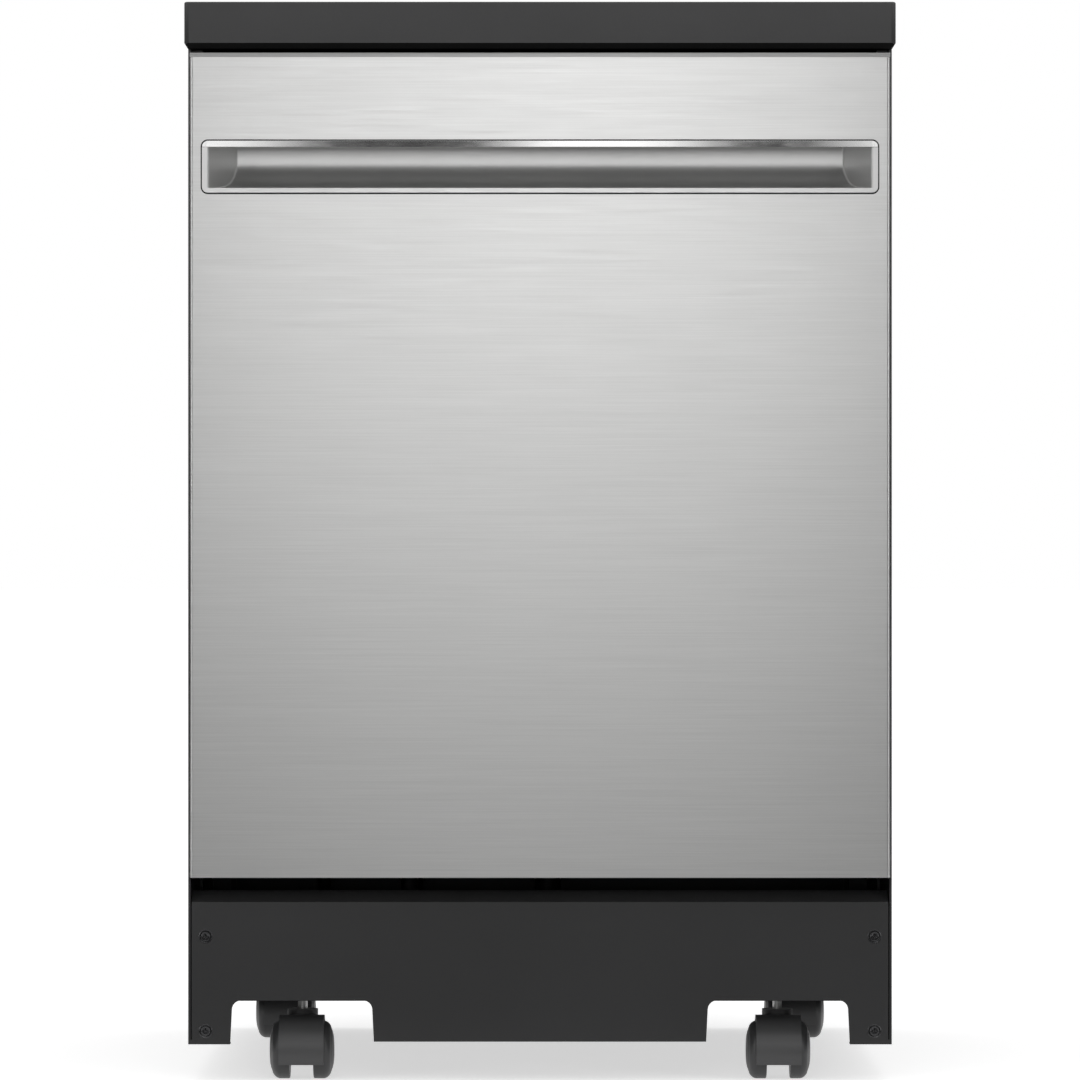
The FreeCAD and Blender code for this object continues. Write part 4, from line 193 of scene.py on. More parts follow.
# ---- racks and springs
WIRE_R = 1.7 * MM
RIM_WIRE_R = 2.4 * MM
TINE_R = 1.5 * MM
RACK_CORNER = 14 * MM
RACK_PITCH = 34 * MM
LOWER_TINES = (34 * MM, 50 * MM, 74 * MM, 82 * MM)  # space before and behind, pitch, height
UPPER_TINES = (70 * MM, 60 * MM, 90 * MM, 58 * MM)
WHEEL_BORE = 3.1 * MM
ROLLER_T = 5 * MM
ROLLER_STUD_R = 4 * MM
SPRING_WIRE_R = 1.0 * MM
SPRING_PITCH = 2.6  # of the wire's radius
SPRING_TAIL = 26 * MM
COIL_STEPS = 14


# ======== material nodes
class Surface:
    """A procedural material on object coordinates, so that its texture moves with the piece."""

    def __init__(self, name, colour, roughness, metallic=0.0, **sockets):
        self.material = bpy.data.materials.new(name)
        self.material.use_nodes = True
        self.tree = self.material.node_tree
        self.shader = self.tree.nodes["Principled BSDF"]
        self.colour = colour
        sockets |= {"Base Color": (*colour, 1.0), "Roughness": roughness, "Metallic": metallic}
        for socket, value in sockets.items():
            self.shader.inputs[socket.replace("_", " ")].default_value = value
        self.place = self.tree.nodes.new("ShaderNodeTexCoord").outputs["Object"]

    def node(self, kind, **inputs):
        made = self.tree.nodes.new(kind)
        for socket, value in inputs.items():
            made.inputs[socket.replace("_", " ")].default_value = value
        return made

    def link(self, source, target):
        self.tree.links.new(source, target)

    def stretched(self, scale):
        mapping = self.node("ShaderNodeMapping", Scale=scale)
        self.link(self.place, mapping.inputs["Vector"])
        return mapping.outputs["Vector"]

    def noise(self, scale, stretch=EVEN, detail=3.0, roughness=0.55):
        made = self.node("ShaderNodeTexNoise", Scale=scale, Detail=detail, Roughness=roughness)
        self.link(self.stretched(stretch), made.inputs["Vector"])
        return made.outputs["Fac"]

    def ranged(self, factor, low, high, start=0.3, end=0.7):
        made = self.node("ShaderNodeMapRange", From_Min=start, From_Max=end, To_Min=low, To_Max=high)
        self.link(factor, made.inputs["Value"])
        return made.outputs["Result"]

    def tint(self, factor, dark, light, start=0.3, end=0.7):
        """Varies the colour between dark and light times the base."""
        ramp = self.node("ShaderNodeValToRGB")
        for element, at, gain in zip(ramp.color_ramp.elements, (start, end), (dark, light)):
            element.position = at
            element.color = (*(min(1.0, c * gain) for c in self.colour), 1.0)
        self.link(factor, ramp.inputs["Fac"])
        self.link(ramp.outputs["Color"], self.shader.inputs["Base Color"])

    def rough(self, factor, low, high, start=0.3, end=0.7):
        self.link(self.ranged(factor, low, high, start, end), self.shader.inputs["Roughness"])

    def bump(self, factor, distance, strength):
        made = self.node("ShaderNodeBump", Strength=strength, Distance=distance)
        self.link(factor, made.inputs["Height"])
        self.link(made.outputs["Normal"], self.shader.inputs["Normal"])

    def brushed_along_x(self, anisotropy):
        self.shader.inputs["Anisotropic"].default_value = anisotropy
        self.shader.inputs["Anisotropic Rotation"].default_value = 0.25
        tangent = self.node("ShaderNodeCombineXYZ", X=1.0)
        self.link(tangent.outputs["Vector"], self.shader.inputs["Tangent"])

    def cells(self, scale):
        made = self.node("ShaderNodeTexVoronoi", Scale=scale)
        self.link(self.stretched(EVEN), made.inputs["Vector"])
        return made


def surface(name, colour, roughness, metallic, grain, tint, rough, bump, cloud=None, brushed=0, **sockets):
    """A finish from one fine noise, and from a wider one for its colour where cloud is given.

    grain and cloud: a noise's scale, stretch, detail and roughness; tint: the colour's lowest and highest
    gain; rough: the roughness's range; bump: the relief in millimetres and its strength; brushed: how
    strongly it is brushed along X."""
    s = Surface(name, colour, roughness, metallic, **sockets)
    if brushed:
        s.brushed_along_x(brushed)
    fine = s.noise(*grain)
    s.tint(s.noise(*cloud) if cloud else fine, *tint)
    if rough:
        s.rough(fine, *rough)
    s.bump(fine, bump[0] * MM, bump[1])
    return s.material


def stainless_door():
    """Horizontally brushed stainless: long hair lines along X, and a few wider streaks."""
    return surface("stainless_door", (0.6, 0.6, 0.595), 0.34, 1.0, (1.0, (16, 60, 2600), 4.0, 0.7),
                   (0.955, 1.045), (0.29, 0.39, 0.25, 0.75), (0.01, 0.3), cloud=(1.0, (9, 8, 900), 4.0, 0.65),
                   brushed=0.7)


def stainless_tub():
    """Satin rolled stainless of the tub, the liner and the rails, with faint upright rolling lines."""
    return surface("stainless_tub", (0.76, 0.765, 0.76), 0.34, 0.96, (1.0, (700, 700, 8)),
                   (0.96, 1.03), (0.33, 0.38), (0.01, 0.2), cloud=(3.0, EVEN, 2.0))


def chrome():
    """Polished trim of the handle."""
    return surface("bright_trim", (0.8, 0.8, 0.795), 0.1, 1.0, (60.0, (1, 1, 3)),
                   (0.96, 1.03), (0.07, 0.14), (0.004, 0.12), cloud=(5.0,))


def satin_trim():
    """Satin-plated sides and bottom of the handle's frame, near the door's own tone."""
    return surface("satin_trim", (0.69, 0.69, 0.685), 0.4, 1.0, (1.0, (60, 200, 1500)),
                   (0.97, 1.03), (0.37, 0.44), (0.01, 0.2), cloud=(9.0,), brushed=0.3)


def scoop_metal():
    """Satin metallic finish of the handle's pocket."""
    return surface("scoop_satin", (0.6, 0.6, 0.595), 0.4, 0.92, (1.0, (300, 1800, 1800)),
                   (0.97, 1.03), (0.38, 0.43), (0.01, 0.15), cloud=(6.0,))


def laminate():
    """Charcoal worktop laminate with a fine pebbled grain and faint dust-grey variation."""
    return surface("worktop_laminate", (0.0315, 0.0315, 0.032), 0.52, 0.0, (1100.0, EVEN, 3.0, 0.6),
                   (0.9, 1.12), (0.46, 0.6), (0.06, 0.5), cloud=(7.0, EVEN, 4.0))


def paint(name, colour, roughness):
    """Sprayed paint on sheet steel: orange peel, uneven gloss and slightly uneven colour."""
    return surface(name, colour, roughness, 0.0, (420.0, EVEN, 2.0), (0.9, 1.12),
                   (roughness - 0.03, roughness + 0.04), (0.05, 0.35), cloud=(5.0,),
                   Coat_Weight=0.15, Coat_Roughness=0.25)


def plastic(name, colour, roughness):
    """Moulded plastic with a spark-eroded grain."""
    s = Surface(name, colour, roughness)
    pits = s.noise(900.0, detail=2.0)
    cloud = s.noise(14.0)
    s.tint(cloud, 0.92, 1.1)
    s.rough(cloud, roughness - 0.06, roughness + 0.08)
    s.bump(pits, 0.05 * MM, 0.4)
    return s.material


def vinyl():
    """Thick dip coating on the rack wires."""
    return surface("rack_vinyl", (0.36, 0.37, 0.385), 0.3, 0.0, (45.0,), (0.92, 1.08), (0.25, 0.38),
                   (0.4, 0.12), Coat_Weight=0.3, Coat_Roughness=0.12)


def black_oxide():
    """Blackened steel of the screws, worn a little brighter in patches."""
    return surface("black_oxide", (0.045, 0.045, 0.047), 0.26, 0.75, (900.0,),
                   (0.85, 1.3), (0.22, 0.32), (0.01, 0.2))


def smoked_glass():
    """The dark display window: a hard glossy face over a faint mask pattern."""
    s = Surface("smoked_glass", (0.01, 0.011, 0.013), 0.06, Coat_Weight=1.0, Coat_Roughness=0.03)
    mask = s.noise(250.0, detail=1.0)
    s.tint(mask, 0.8, 1.5)
    s.rough(mask, 0.05, 0.09)
    return s.material


def laminate_core_and_painted_shade():
    """The laminate's black core where its edges are cut and rounded, also put on every downward face: partly
    the real core, partly painted shade under the worktop and along its top edges.
    """
    return surface("laminate_core_and_painted_shade", (0.006, 0.006, 0.006), 0.7, 0.0, (1.0, (900, 900, 3000)),
                   (0.7, 1.4), None, (0.04, 0.4), Specular_IOR_Level=0.05)


def top_bar_shaded_steel():
    """Satin steel bar along the door's top edge, darker than the skin: a shaded copy of the door's stainless,
    painted shade on its top bend.
    """
    return surface("top_bar_shaded_steel", (0.3, 0.3, 0.298), 0.36, 1.0, (1.0, (20, 300, 1800)),
                   (0.95, 1.05), (0.32, 0.4), (0.01, 0.25), brushed=0.6)


def rubber():
    """Dull black rubber of the seals, hoses and piping."""
    return surface("seal_rubber", (0.012, 0.012, 0.012), 0.62, 0.0, (600.0,), (0.85, 1.25), (0.52, 0.72),
                   (0.05, 0.5), cloud=(20.0,), Specular_IOR_Level=0.3)


def zinc():
    """Galvanised sheet with its crystal spangle."""
    s = Surface("zinc_sheet", (0.5, 0.51, 0.52), 0.4, 0.9)
    cells = s.cells(90.0)
    s.tint(cells.outputs["Color"], 0.86, 1.1, 0.1, 0.9)
    s.rough(cells.outputs["Distance"], 0.32, 0.52, 0.0, 0.8)
    s.bump(s.noise(300.0), 0.03 * MM, 0.3)
    return s.material


def steel_stem():
    """Turned, zinc-plated steel of the caster stems and the springs."""
    return surface("stem_steel", (0.72, 0.72, 0.71), 0.34, 0.8, (1.0, (40, 40, 2600), 2.0),
                   (0.9, 1.06), (0.28, 0.42), (0.01, 0.2))


def circuit_board():
    """Green board with a pattern of square cells."""
    s = Surface("circuit_board", (0.02, 0.1, 0.045), 0.35)
    cells = s.cells(220.0)
    cells.distance = "MANHATTAN"
    s.tint(cells.outputs["Distance"], 0.7, 1.5, 0.2, 0.8)
    s.bump(cells.outputs["Distance"], 0.1 * MM, 0.4)
    return s.material


def felt():
    """Pressed fibre of the door's sound blanket."""
    return surface("felt_blanket", (0.19, 0.19, 0.18), 0.95, 0.0, (700.0, (1, 1, 3), 6.0, 0.7),
                   (0.6, 1.5), None, (0.4, 0.7), Sheen_Weight=0.3, Sheen_Roughness=0.5)


# ======== dress the CAD nodes
def dress_nodes():
    """The worktop, the softened panels and the screws, and a material for every CAD node that stays."""
    make_worktop(laminate(), laminate_core_and_painted_shade())
    cabinet_paint = paint("cabinet_paint", (0.016, 0.016, 0.017), 0.38)
    for name in ("side_panel_left", "side_panel_right", "rear_panel"):
        softened(name, "cabinet", cabinet_paint, PANEL_SOFT)
    softened("toe_panel", "cabinet", paint("toe_paint", (0.0165, 0.0165, 0.017), 0.46), TOE_SOFT)
    make_screws(black_oxide())
    for material, names in (
            (paint("base_coat", (0.012, 0.012, 0.013), 0.5), "base_tray top_rail hinge_brackets"),
            (stainless_door(), "door_outer_panel"),
            (stainless_tub(), "tub door_inner_panel upper_rails heating_element"),
            (zinc(), "hinge_arms door_latch"),
            (steel_stem(), "caster_stems"),
            (rubber(), "tub_gasket plumbing_hoses"),
            (plastic("black_plastic", (0.016, 0.016, 0.017), 0.4),
             "door_console latch_keeper hose_pocket circulation_pump drain_pump"),
            (plastic("button_satin", (0.12, 0.12, 0.125), 0.32), "button_power button_cycle button_start"),
            (plastic("grey_plastic", (0.3, 0.31, 0.325), 0.4), "sump spray_feed_tube dispenser_body "
             "upper_manifold middle_spray_arm lower_spray_arm rack_wheel_brackets silverware_basket"),
            (plastic("light_plastic", (0.58, 0.59, 0.59), 0.36),
             "dispenser_lid float_dome inlet_valve filter_basket"),
            (plastic("rinse_blue", (0.07, 0.16, 0.33), 0.35), "rinse_cap"),
            (circuit_board(), "control_board"),
            (felt(), "door_insulation"),
            (plastic("caster_plastic", (0.05, 0.05, 0.051), 0.42),
             "caster_hood_fl caster_hood_fr caster_hood_rl caster_hood_rr"),
            (plastic("caster_tread", (0.034, 0.034, 0.035), 0.42),
             "caster_wheels_fl caster_wheels_fr caster_wheels_rl caster_wheels_rr")):
        for name in names.split():
            for slot in NODES[name].material_slots:
                slot.material = material


# ======== mesh helpers
def new_object(name, data, *materials):
    """An object in the scene, for any kind of data."""
    made = bpy.data.objects.new(name, data)
    bpy.context.scene.collection.objects.link(made)
    for material in materials:
        data.materials.append(material)
    return made


def smooth(mesh, angle):
    """Smooth shading, with edges sharper than the angle kept crisp."""
    for polygon in mesh.polygons:
        polygon.use_smooth = True
    mesh.set_sharp_from_angle(angle=math.radians(angle))


def grid_faces(rows, columns, closed=False, ringed=False):
    """Quads of a grid of points stored row by row.

    closed joins the last row to the first, ringed the last point of each row to its first."""
    faces = []
    for i in range(rows if closed else rows - 1):
        a, b = i * columns, (i + 1) % rows * columns
        for j in range(columns if ringed else columns - 1):
            k = (j + 1) % columns
            faces.append((a + j, a + k, b + k, b + j))
    return faces


def bar_faces(rows, columns):
    """The quads of a closed section carried along a bar, and the bar's two ends."""
    ends = [tuple(i * columns + j for i in range(rows)) for j in (0, columns - 1)]
    return grid_faces(rows, columns, closed=True) + ends


def arc(x, z, radius, start, end, steps):
    """Points on a circle round (x, z), between two angles."""
    angles = [math.radians(start + (end - start) * i / steps) for i in range(steps + 1)]
    return [(x + radius * math.cos(a), z + radius * math.sin(a)) for a in angles]


def lathe(profile, centre, steps=TURN_STEPS, axis=0):
    """A ring of (along, radius) corners turned about an axis through centre, as (points, quads)."""
    points = []
    for i in range(steps):
        a = 2 * math.pi * i / steps
        for along, r in profile:
            point = list(centre)
            for k, shift in enumerate((along, r * math.cos(a), r * math.sin(a))):
                point[(axis + k) % 3] += shift
            points.append(tuple(point))
    return points, grid_faces(steps, len(profile), closed=True, ringed=True)


def mesh_object(name, parts, material, angle=CRISP):
    """One object from several (points, faces) parts; edges sharper than the angle stay crisp."""
    points, faces = [], []
    for more_points, more_faces in parts:
        start = len(points)
        points += more_points
        faces += [tuple(start + i for i in face) for face in more_faces]
    mesh = bpy.data.meshes.new(name)
    mesh.from_pydata(points, [], faces)
    work = bmesh.new()
    work.from_mesh(mesh)
    bmesh.ops.remove_doubles(work, verts=work.verts, dist=OWN_JOIN)
    bmesh.ops.dissolve_degenerate(work, edges=work.edges, dist=OWN_JOIN)
    bmesh.ops.recalc_face_normals(work, faces=work.faces)
    work.to_mesh(mesh)
    work.free()
    smooth(mesh, angle)
    return new_object(name, mesh, material)


def merged_copy(node):
    """A CAD node's surface as a bmesh with its corners joined and its flat faces whole."""
    work = bmesh.new()
    work.from_mesh(NODES[node].data)
    bmesh.ops.remove_doubles(work, verts=work.verts, dist=CAD_JOIN)
    bmesh.ops.dissolve_limit(work, angle_limit=math.radians(FLAT), verts=work.verts, edges=work.edges)
    return work


def finished_copy(work, node, body, *materials):
    """The object made of a merged copy, in place of its node."""
    mesh = bpy.data.meshes.new(node + "_soft")
    work.to_mesh(mesh)
    work.free()
    smooth(mesh, CAD_CRISP)
    made = new_object(node + "_soft", mesh, *materials)
    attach(made, body)
    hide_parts(node)
    made.modifiers.new("even", "WEIGHTED_NORMAL").keep_sharp = True


def softened(node, body, material, width):
    """A CAD node with its sharp edges rounded by width."""
    work = merged_copy(node)
    sharp = math.radians(CAD_CRISP)
    edges = [e for e in work.edges if len(e.link_faces) == 2 and e.calc_face_angle() > sharp]
    bmesh.ops.bevel(work, geom=edges, offset=width, segments=2, profile=0.5, affect="EDGES",
                    clamp_overlap=True)
    finished_copy(work, node, body, material)


def solid_boxes(node):
    """The lowest and highest corners of each separate solid in a node."""
    work = merged_copy(node)
    boxes = []
    left = set(work.verts)
    while left:
        stack = [left.pop()]
        found = []
        while stack:
            vert = stack.pop()
            found.append(vert.co.copy())
            near = left.intersection(edge.other_vert(vert) for edge in vert.link_edges)
            left -= near
            stack += near
        boxes.append([Vector(pick(c[i] for c in found) for i in range(3)) for pick in (min, max)])
    work.free()
    return boxes


def wires(name, paths, material):
    """A bundle of round wires: each path is (points, radius, closed)."""
    radius = paths[0][1]
    curve = bpy.data.curves.new(name, "CURVE")
    curve.dimensions = "3D"
    curve.bevel_depth = radius
    curve.bevel_resolution = 3
    curve.use_fill_caps = True
    for points, r, closed in paths:
        spline = curve.splines.new("POLY")
        spline.points.add(len(points) - 1)
        for target, point in zip(spline.points, points):
            target.co = (*point, 1.0)
            target.radius = r / radius
        spline.use_cyclic_u = closed
    return new_object(name, curve, material)


def bend(before, corner, after, radius):
    """The points of a round bend at a corner of a path."""
    into = (before - corner).normalized()
    away = (after - corner).normalized()
    half = into.angle(away) / 2
    reach = min(radius / math.tan(half), (before - corner).length / 2, (after - corner).length / 2)
    start, end = corner + into * reach, corner + away * reach
    return [(1 - t) ** 2 * start + 2 * t * (1 - t) * corner + t * t * end for t in BEND_STEPS]


def rounded_path(corners, radius, closed=False):
    """A path with its corners rounded."""
    corners = [Vector(c) for c in corners]
    count = len(corners)
    made = []
    for i, corner in enumerate(corners):
        if not closed and i in (0, count - 1):
            made.append(corner)
        else:
            made += bend(corners[i - 1], corner, corners[(i + 1) % count], radius)
    return made


def between(low, high, pitch):
    """Even places from low to high, near the pitch."""
    steps = max(1, round((high - low) / pitch))
    return [low + (high - low) * i / steps for i in range(steps + 1)]


# ======== cabinet
def make_worktop(face, core_and_shade):
    """The worktop with rounded arrises and the bevel under it in the laminate's dark core: partly the real
    core, partly painted shade on its underside and along its top edges.
    """
    work = merged_copy("worktop")
    low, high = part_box("worktop")
    edges = []
    for edge in work.edges:
        start, end = (vert.co for vert in edge.verts)
        middle = (start + end) / 2
        upright = abs((end - start).normalized().z) > UPRIGHT
        at_side = abs(middle.x) > high.x - ON_FACE
        at_end = min(middle.y - low.y, high.y - middle.y) < ON_FACE
        upper = middle.z > high.z - ON_FACE and (at_side or at_end)
        if upper or (upright and at_side and at_end):
            edges.append(edge)
    # the top arrises get the dark core too: partly the real core, partly painted shade along the top edges
    bmesh.ops.bevel(work, geom=edges, offset=WORKTOP_ARRIS, segments=3, profile=0.5, affect="EDGES",
                    material=1)
    # every downward face gets the dark core: painted shade under the worktop
    for polygon in work.faces:
        if polygon.normal.z < DOWNWARD:
            polygon.material_index = 1
    finished_copy(work, "worktop", "cabinet", face, core_and_shade)


def cross_reach(angle, length, width):
    """How far a cross-shaped recess reaches from its middle at an angle."""
    c, s = abs(math.cos(angle)) + TINY, abs(math.sin(angle)) + TINY
    return max(min(length / c, width / s), min(width / c, length / s))


def screw_head(x, y, z, way, radius):
    """A cross-recessed pan head on a dished seat; way is the side it faces along Y."""
    turn = 2 * math.pi / SCREW_STEPS
    length, width = (share * radius for share in SCREW_CROSS)
    cross = [cross_reach(turn * i, length, width) for i in range(SCREW_STEPS)]
    rings = [[(r * share, lift) for r in cross] for share, lift in SCREW_RECESS]
    rings += [[(share * radius, lift)] * SCREW_STEPS for share, lift in SCREW_CROWN + SCREW_SEAT]
    points = [(x, y + way * 0.1 * SCREW_RISE, z)]
    for ring in rings:
        for i, (r, lift) in enumerate(ring):
            a = turn * i
            points.append((x + r * math.cos(a), y + way * (1 + lift) * SCREW_RISE, z + r * math.sin(a)))
    faces = [(0, 1 + i, 1 + (i + 1) % SCREW_STEPS) for i in range(SCREW_STEPS)]
    faces += [tuple(1 + i for i in quad) for quad in grid_faces(len(rings), SCREW_STEPS, ringed=True)]
    faces.append(tuple(range(len(points) - SCREW_STEPS, len(points))))
    return points, faces


def make_screws(material):
    """Cross-head screws in place of each of the CAD ones."""
    front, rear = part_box("toe_panel")[0].y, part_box("rear_panel")[1].y
    parts = []
    for low, high in solid_boxes("panel_screws"):
        y, way = (front, -1) if low.y < 0 else (rear, 1)
        parts.append(screw_head((low.x + high.x) / 2, y, (low.z + high.z) / 2, way, (high.x - low.x) / 2))
    made = mesh_object("panel_screw_heads", parts, material)
    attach(made, "cabinet")
    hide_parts("panel_screws")


def make_toe_gap_shade(material):
    """Black rods behind the gap between the toe panel's ends and the side panels: painted shade in that gap,
    made as rubber piping.
    """
    low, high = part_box("toe_panel")
    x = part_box("base_tray")[1].x + TOE_SHADE_R - TOE_SHADE_LAP
    y = low.y + TOE_SHADE_BACK
    foot, top = low.z + TOE_SHADE_FOOT, high.z - TOE_SHADE_TOP
    runs = [([(side * x, y, foot), (side * x, y, top)], TOE_SHADE_R, False) for side in (-1, 1)]
    made = wires("toe_gap_shade", runs, material)
    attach(made, "cabinet")


def make_top_bar(material):
    """A satin bar round the front of the console plate, at the top of the door."""
    low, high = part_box("door_console")
    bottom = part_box("door_outer_panel")[1].z
    face = low.y - TOP_BAR_PROUD
    top = high.z + TOP_BAR_PROUD
    section = [(bottom, low.y + TOP_BAR_LAP), (bottom, face), (bottom + 0.5 * (top - bottom), face)]
    section += arc(top - TOP_BAR_R, face + TOP_BAR_R, TOP_BAR_R, -75, 0, 5)
    section += [(top, low.y + TOP_BAR_DEPTH), (high.z - TOP_BAR_LAP, low.y + TOP_BAR_DEPTH)]
    points = [(x, y, z) for z, y in section for x in (low.x, high.x)]
    made = mesh_object("door_top_bar", [(points, bar_faces(len(section), 2))], material)
    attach(made, "door")


# ======== hose pocket's fittings
def grommet_outline(r, tall):
    """Ribs that narrow upwards, and the bore, as (height, radius) corners above the flange."""
    outline = []
    for i in range(RIBS):
        z = FITTING_FLOOR + RIB_PITCH * (i + 1)
        wide = r - 0.25 * MM * i
        narrow = wide - RIB_DEPTH
        outline += [(z, wide), (z + 2.2 * MM, wide), (z + 2.6 * MM, narrow), (z + 3.6 * MM, narrow)]
    return outline + [(tall, r - 3 * MM), (tall, 0.5 * r), (0.5 * tall, 0.5 * r)]


def coupling_outline(r, tall):
    """A collar, threads and the mouth."""
    start = FITTING_FLOOR + THREAD_START
    pitch = (tall - 2 * MM - start) / THREADS
    collar, root = r + 1.2 * MM, r - THREAD_DEPTH
    outline = [(FITTING_FLOOR + FLANGE_T, collar), (start - 0.4 * MM, collar), (start, root)]
    for i in range(THREADS):
        z = start + pitch * i
        outline += [(z + 0.3 * pitch, r), (z + 0.5 * pitch, r), (z + 0.8 * pitch, root)]
    return outline + [(tall - 1 * MM, root), (tall, r - 1.6 * MM), (tall, 0.6 * r)]


def spigot_outline(r, tall):
    """Barbs and the mouth."""
    neck = r - BARB_DEPTH
    outline = [(FITTING_FLOOR + FLANGE_T, neck)]
    for i in range(BARBS):
        z = FITTING_FLOOR + BARB_START + BARB_PITCH * i
        outline += [(z, neck), (z, r), (z + 0.8 * MM, r), (z + 5.4 * MM, neck)]
    return outline + [(tall, r - 1.6 * MM), (tall, 0.6 * r)]


def make_pocket_fittings():
    """The ribbed cord grommet, the threaded fill coupling and the barbed drain spigot, narrowest first."""
    kinds = (("cord_grommet", grommet_outline, rubber()), ("fill_coupling", coupling_outline, steel_stem()),
             ("drain_spigot", spigot_outline, plastic("spigot_grey", (0.3, 0.31, 0.325), 0.4)))
    boxes = sorted(solid_boxes("pocket_fittings"), key=lambda box: box[1].x - box[0].x)
    for (low, high), (name, outline, material) in zip(boxes, kinds):
        flange = (high.x - low.x) / 2
        r = flange - FLANGE_W
        foot = [(0, 0.6 * r), (0, r), (FITTING_FLOOR, r), (FITTING_FLOOR, flange),
                (FITTING_FLOOR + 0.8 * FLANGE_T, flange), (FITTING_FLOOR + FLANGE_T, flange - 0.5 * MM)]
        centre = ((low.x + high.x) / 2, (low.y + high.y) / 2, low.z)
        made = mesh_object(name, [lathe(foot + outline(r, high.z - low.z), centre, axis=2)], material)
        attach(made, "cabinet")
    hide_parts("pocket_fittings")


# ======== console
def stroke(radius, width, start, end):
    """The quads of an arc of a ring, as flat (x, y) corners."""
    inner, outer = (arc(0, 0, r, start, end, MARK_STEPS) for r in (radius, radius + width))
    return [(inner[i], outer[i], outer[i + 1], inner[i + 1]) for i in range(MARK_STEPS)]


def print_on(name, body, centre, shapes, material):
    """Ink on an upward face: shapes are flat outlines round centre."""
    parts = [([(centre[0] + x, centre[1] + y, centre[2]) for x, y in shape], [tuple(range(len(shape)))])
             for shape in shapes]
    made = mesh_object(name, parts, material)
    film = made.modifiers.new("film", "SOLIDIFY")
    film.thickness = INK_FILM
    film.offset = 0
    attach(made, body)


def make_console_marks():
    """Plain symbols on the three buttons, a smoked display window and three light pipes."""
    ink = plastic("button_ink", (0.62, 0.62, 0.61), 0.5)
    line, r = MARK_LINE, MARK_R
    bar = [(-line / 2, 0.6 * MM), (line / 2, 0.6 * MM), (line / 2, 2.9 * MM), (-line / 2, 2.9 * MM)]
    power = stroke(r, line, 125, 415) + [bar]
    head = [(r - 0.7 * MM, 0), (r + line + 0.7 * MM, 0), (r + line / 2, 1.4 * MM)]
    cycle = stroke(r, line, 60, 360) + [head]
    start = [[(-1.5 * MM, -2 * MM), (2.2 * MM, 0), (-1.5 * MM, 2 * MM)]]
    for name, shapes in (("button_power", power), ("button_cycle", cycle), ("button_start", start)):
        low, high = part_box(name)
        centre = ((low.x + high.x) / 2, (low.y + high.y) / 2, high.z + INK_LIFT)
        print_on(name + "_mark", name, centre, shapes, ink)
    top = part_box("door_console")[1].z
    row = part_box("button_power")[1].y
    near, far = row + DISPLAY_NEAR, row + DISPLAY_FAR
    points = []
    for inset, lift in DISPLAY_RIM:
        x, y0, y1, z = DISPLAY_HALF - inset, near + inset, far - inset, top + lift
        points += [(-x, y0, z), (x, y0, z), (x, y1, z), (-x, y1, z)]
    faces = grid_faces(len(DISPLAY_RIM), 4, ringed=True) + [(8, 9, 10, 11), (0, 1, 2, 3)]
    window = mesh_object("display_window", [(points, faces)], smoked_glass())
    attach(window, "door")
    places = [(DISPLAY_HALF + PIPE_GAP + PIPE_PITCH * i, (near + far) / 2, top - PIPE_LAP) for i in range(3)]
    lamps = mesh_object("light_pipes", [lathe(PIPE_DOME, place, 24, 2) for place in places], ink)
    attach(lamps, "door")


# ======== racks
def rack(node, body, ring_count, tine_rows, tine_height, material):
    """A rack of coated wire in place of the CAD one: hoops each way, rim and wall rings, and tines."""
    low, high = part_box(node)
    x0, x1 = low.x + WIRE_R, high.x - WIRE_R
    y0, y1 = low.y + WIRE_R, high.y - WIRE_R
    z0, z1 = low.z + WIRE_R, high.z - RIM_WIRE_R
    hoops = [[(x0, y, z1), (x0, y, z0), (x1, y, z0), (x1, y, z1)]
             for y in between(y0 + RACK_PITCH, y1 - RACK_PITCH, RACK_PITCH)]
    hoops += [[(x, y0, z1), (x, y0, z0), (x, y1, z0), (x, y1, z1)]
              for x in between(x0 + RACK_PITCH, x1 - RACK_PITCH, RACK_PITCH)]
    paths = [(rounded_path(hoop, RACK_CORNER), WIRE_R, False) for hoop in hoops]
    for i in range(ring_count + 1):
        z = z0 + (z1 - z0) * (i + 1) / (ring_count + 1)
        rim = i == ring_count
        r, inset = (RIM_WIRE_R, 0.0) if rim else (WIRE_R, 1.4 * WIRE_R)
        ax, bx, ay, by = x0 + inset, x1 - inset, y0 + inset, y1 - inset
        loop = [(ax, ay, z), (bx, ay, z), (bx, by, z), (ax, by, z)]
        paths.append((rounded_path(loop, 2.2 * RACK_CORNER, True), r, True))
    foot_z = z0 + 2 * WIRE_R
    lean = 0.06 * tine_height
    for y in tine_rows:
        paths.append(([(x0, y, foot_z), (x1, y, foot_z)], WIRE_R, False))
        for x in between(x0 + RACK_PITCH / 2, x1 - RACK_PITCH / 2, 0.8 * RACK_PITCH):
            tine = [(x, y, foot_z), (x, y + 0.2 * lean, foot_z + 0.3 * tine_height),
                    (x, y + lean, foot_z + tine_height)]
            paths.append((tine, TINE_R, False))
    paths.sort(key=lambda path: path[1] != WIRE_R)
    made = wires(node + "_wires", paths, material)
    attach(made, body)
    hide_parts(node)


def make_racks():
    """Both racks; the lower one's tines stand behind the silverware basket."""
    coating = vinyl()
    for node, front, rings, (before, behind, pitch, height) in (
            ("lower_rack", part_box("silverware_basket")[1].y, 3, LOWER_TINES),
            ("upper_rack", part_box("upper_rack")[0].y, 2, UPPER_TINES)):
        rows = between(front + before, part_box(node)[1].y - behind, pitch)
        rack(node, node + "_carriage", rings, rows, height, coating)


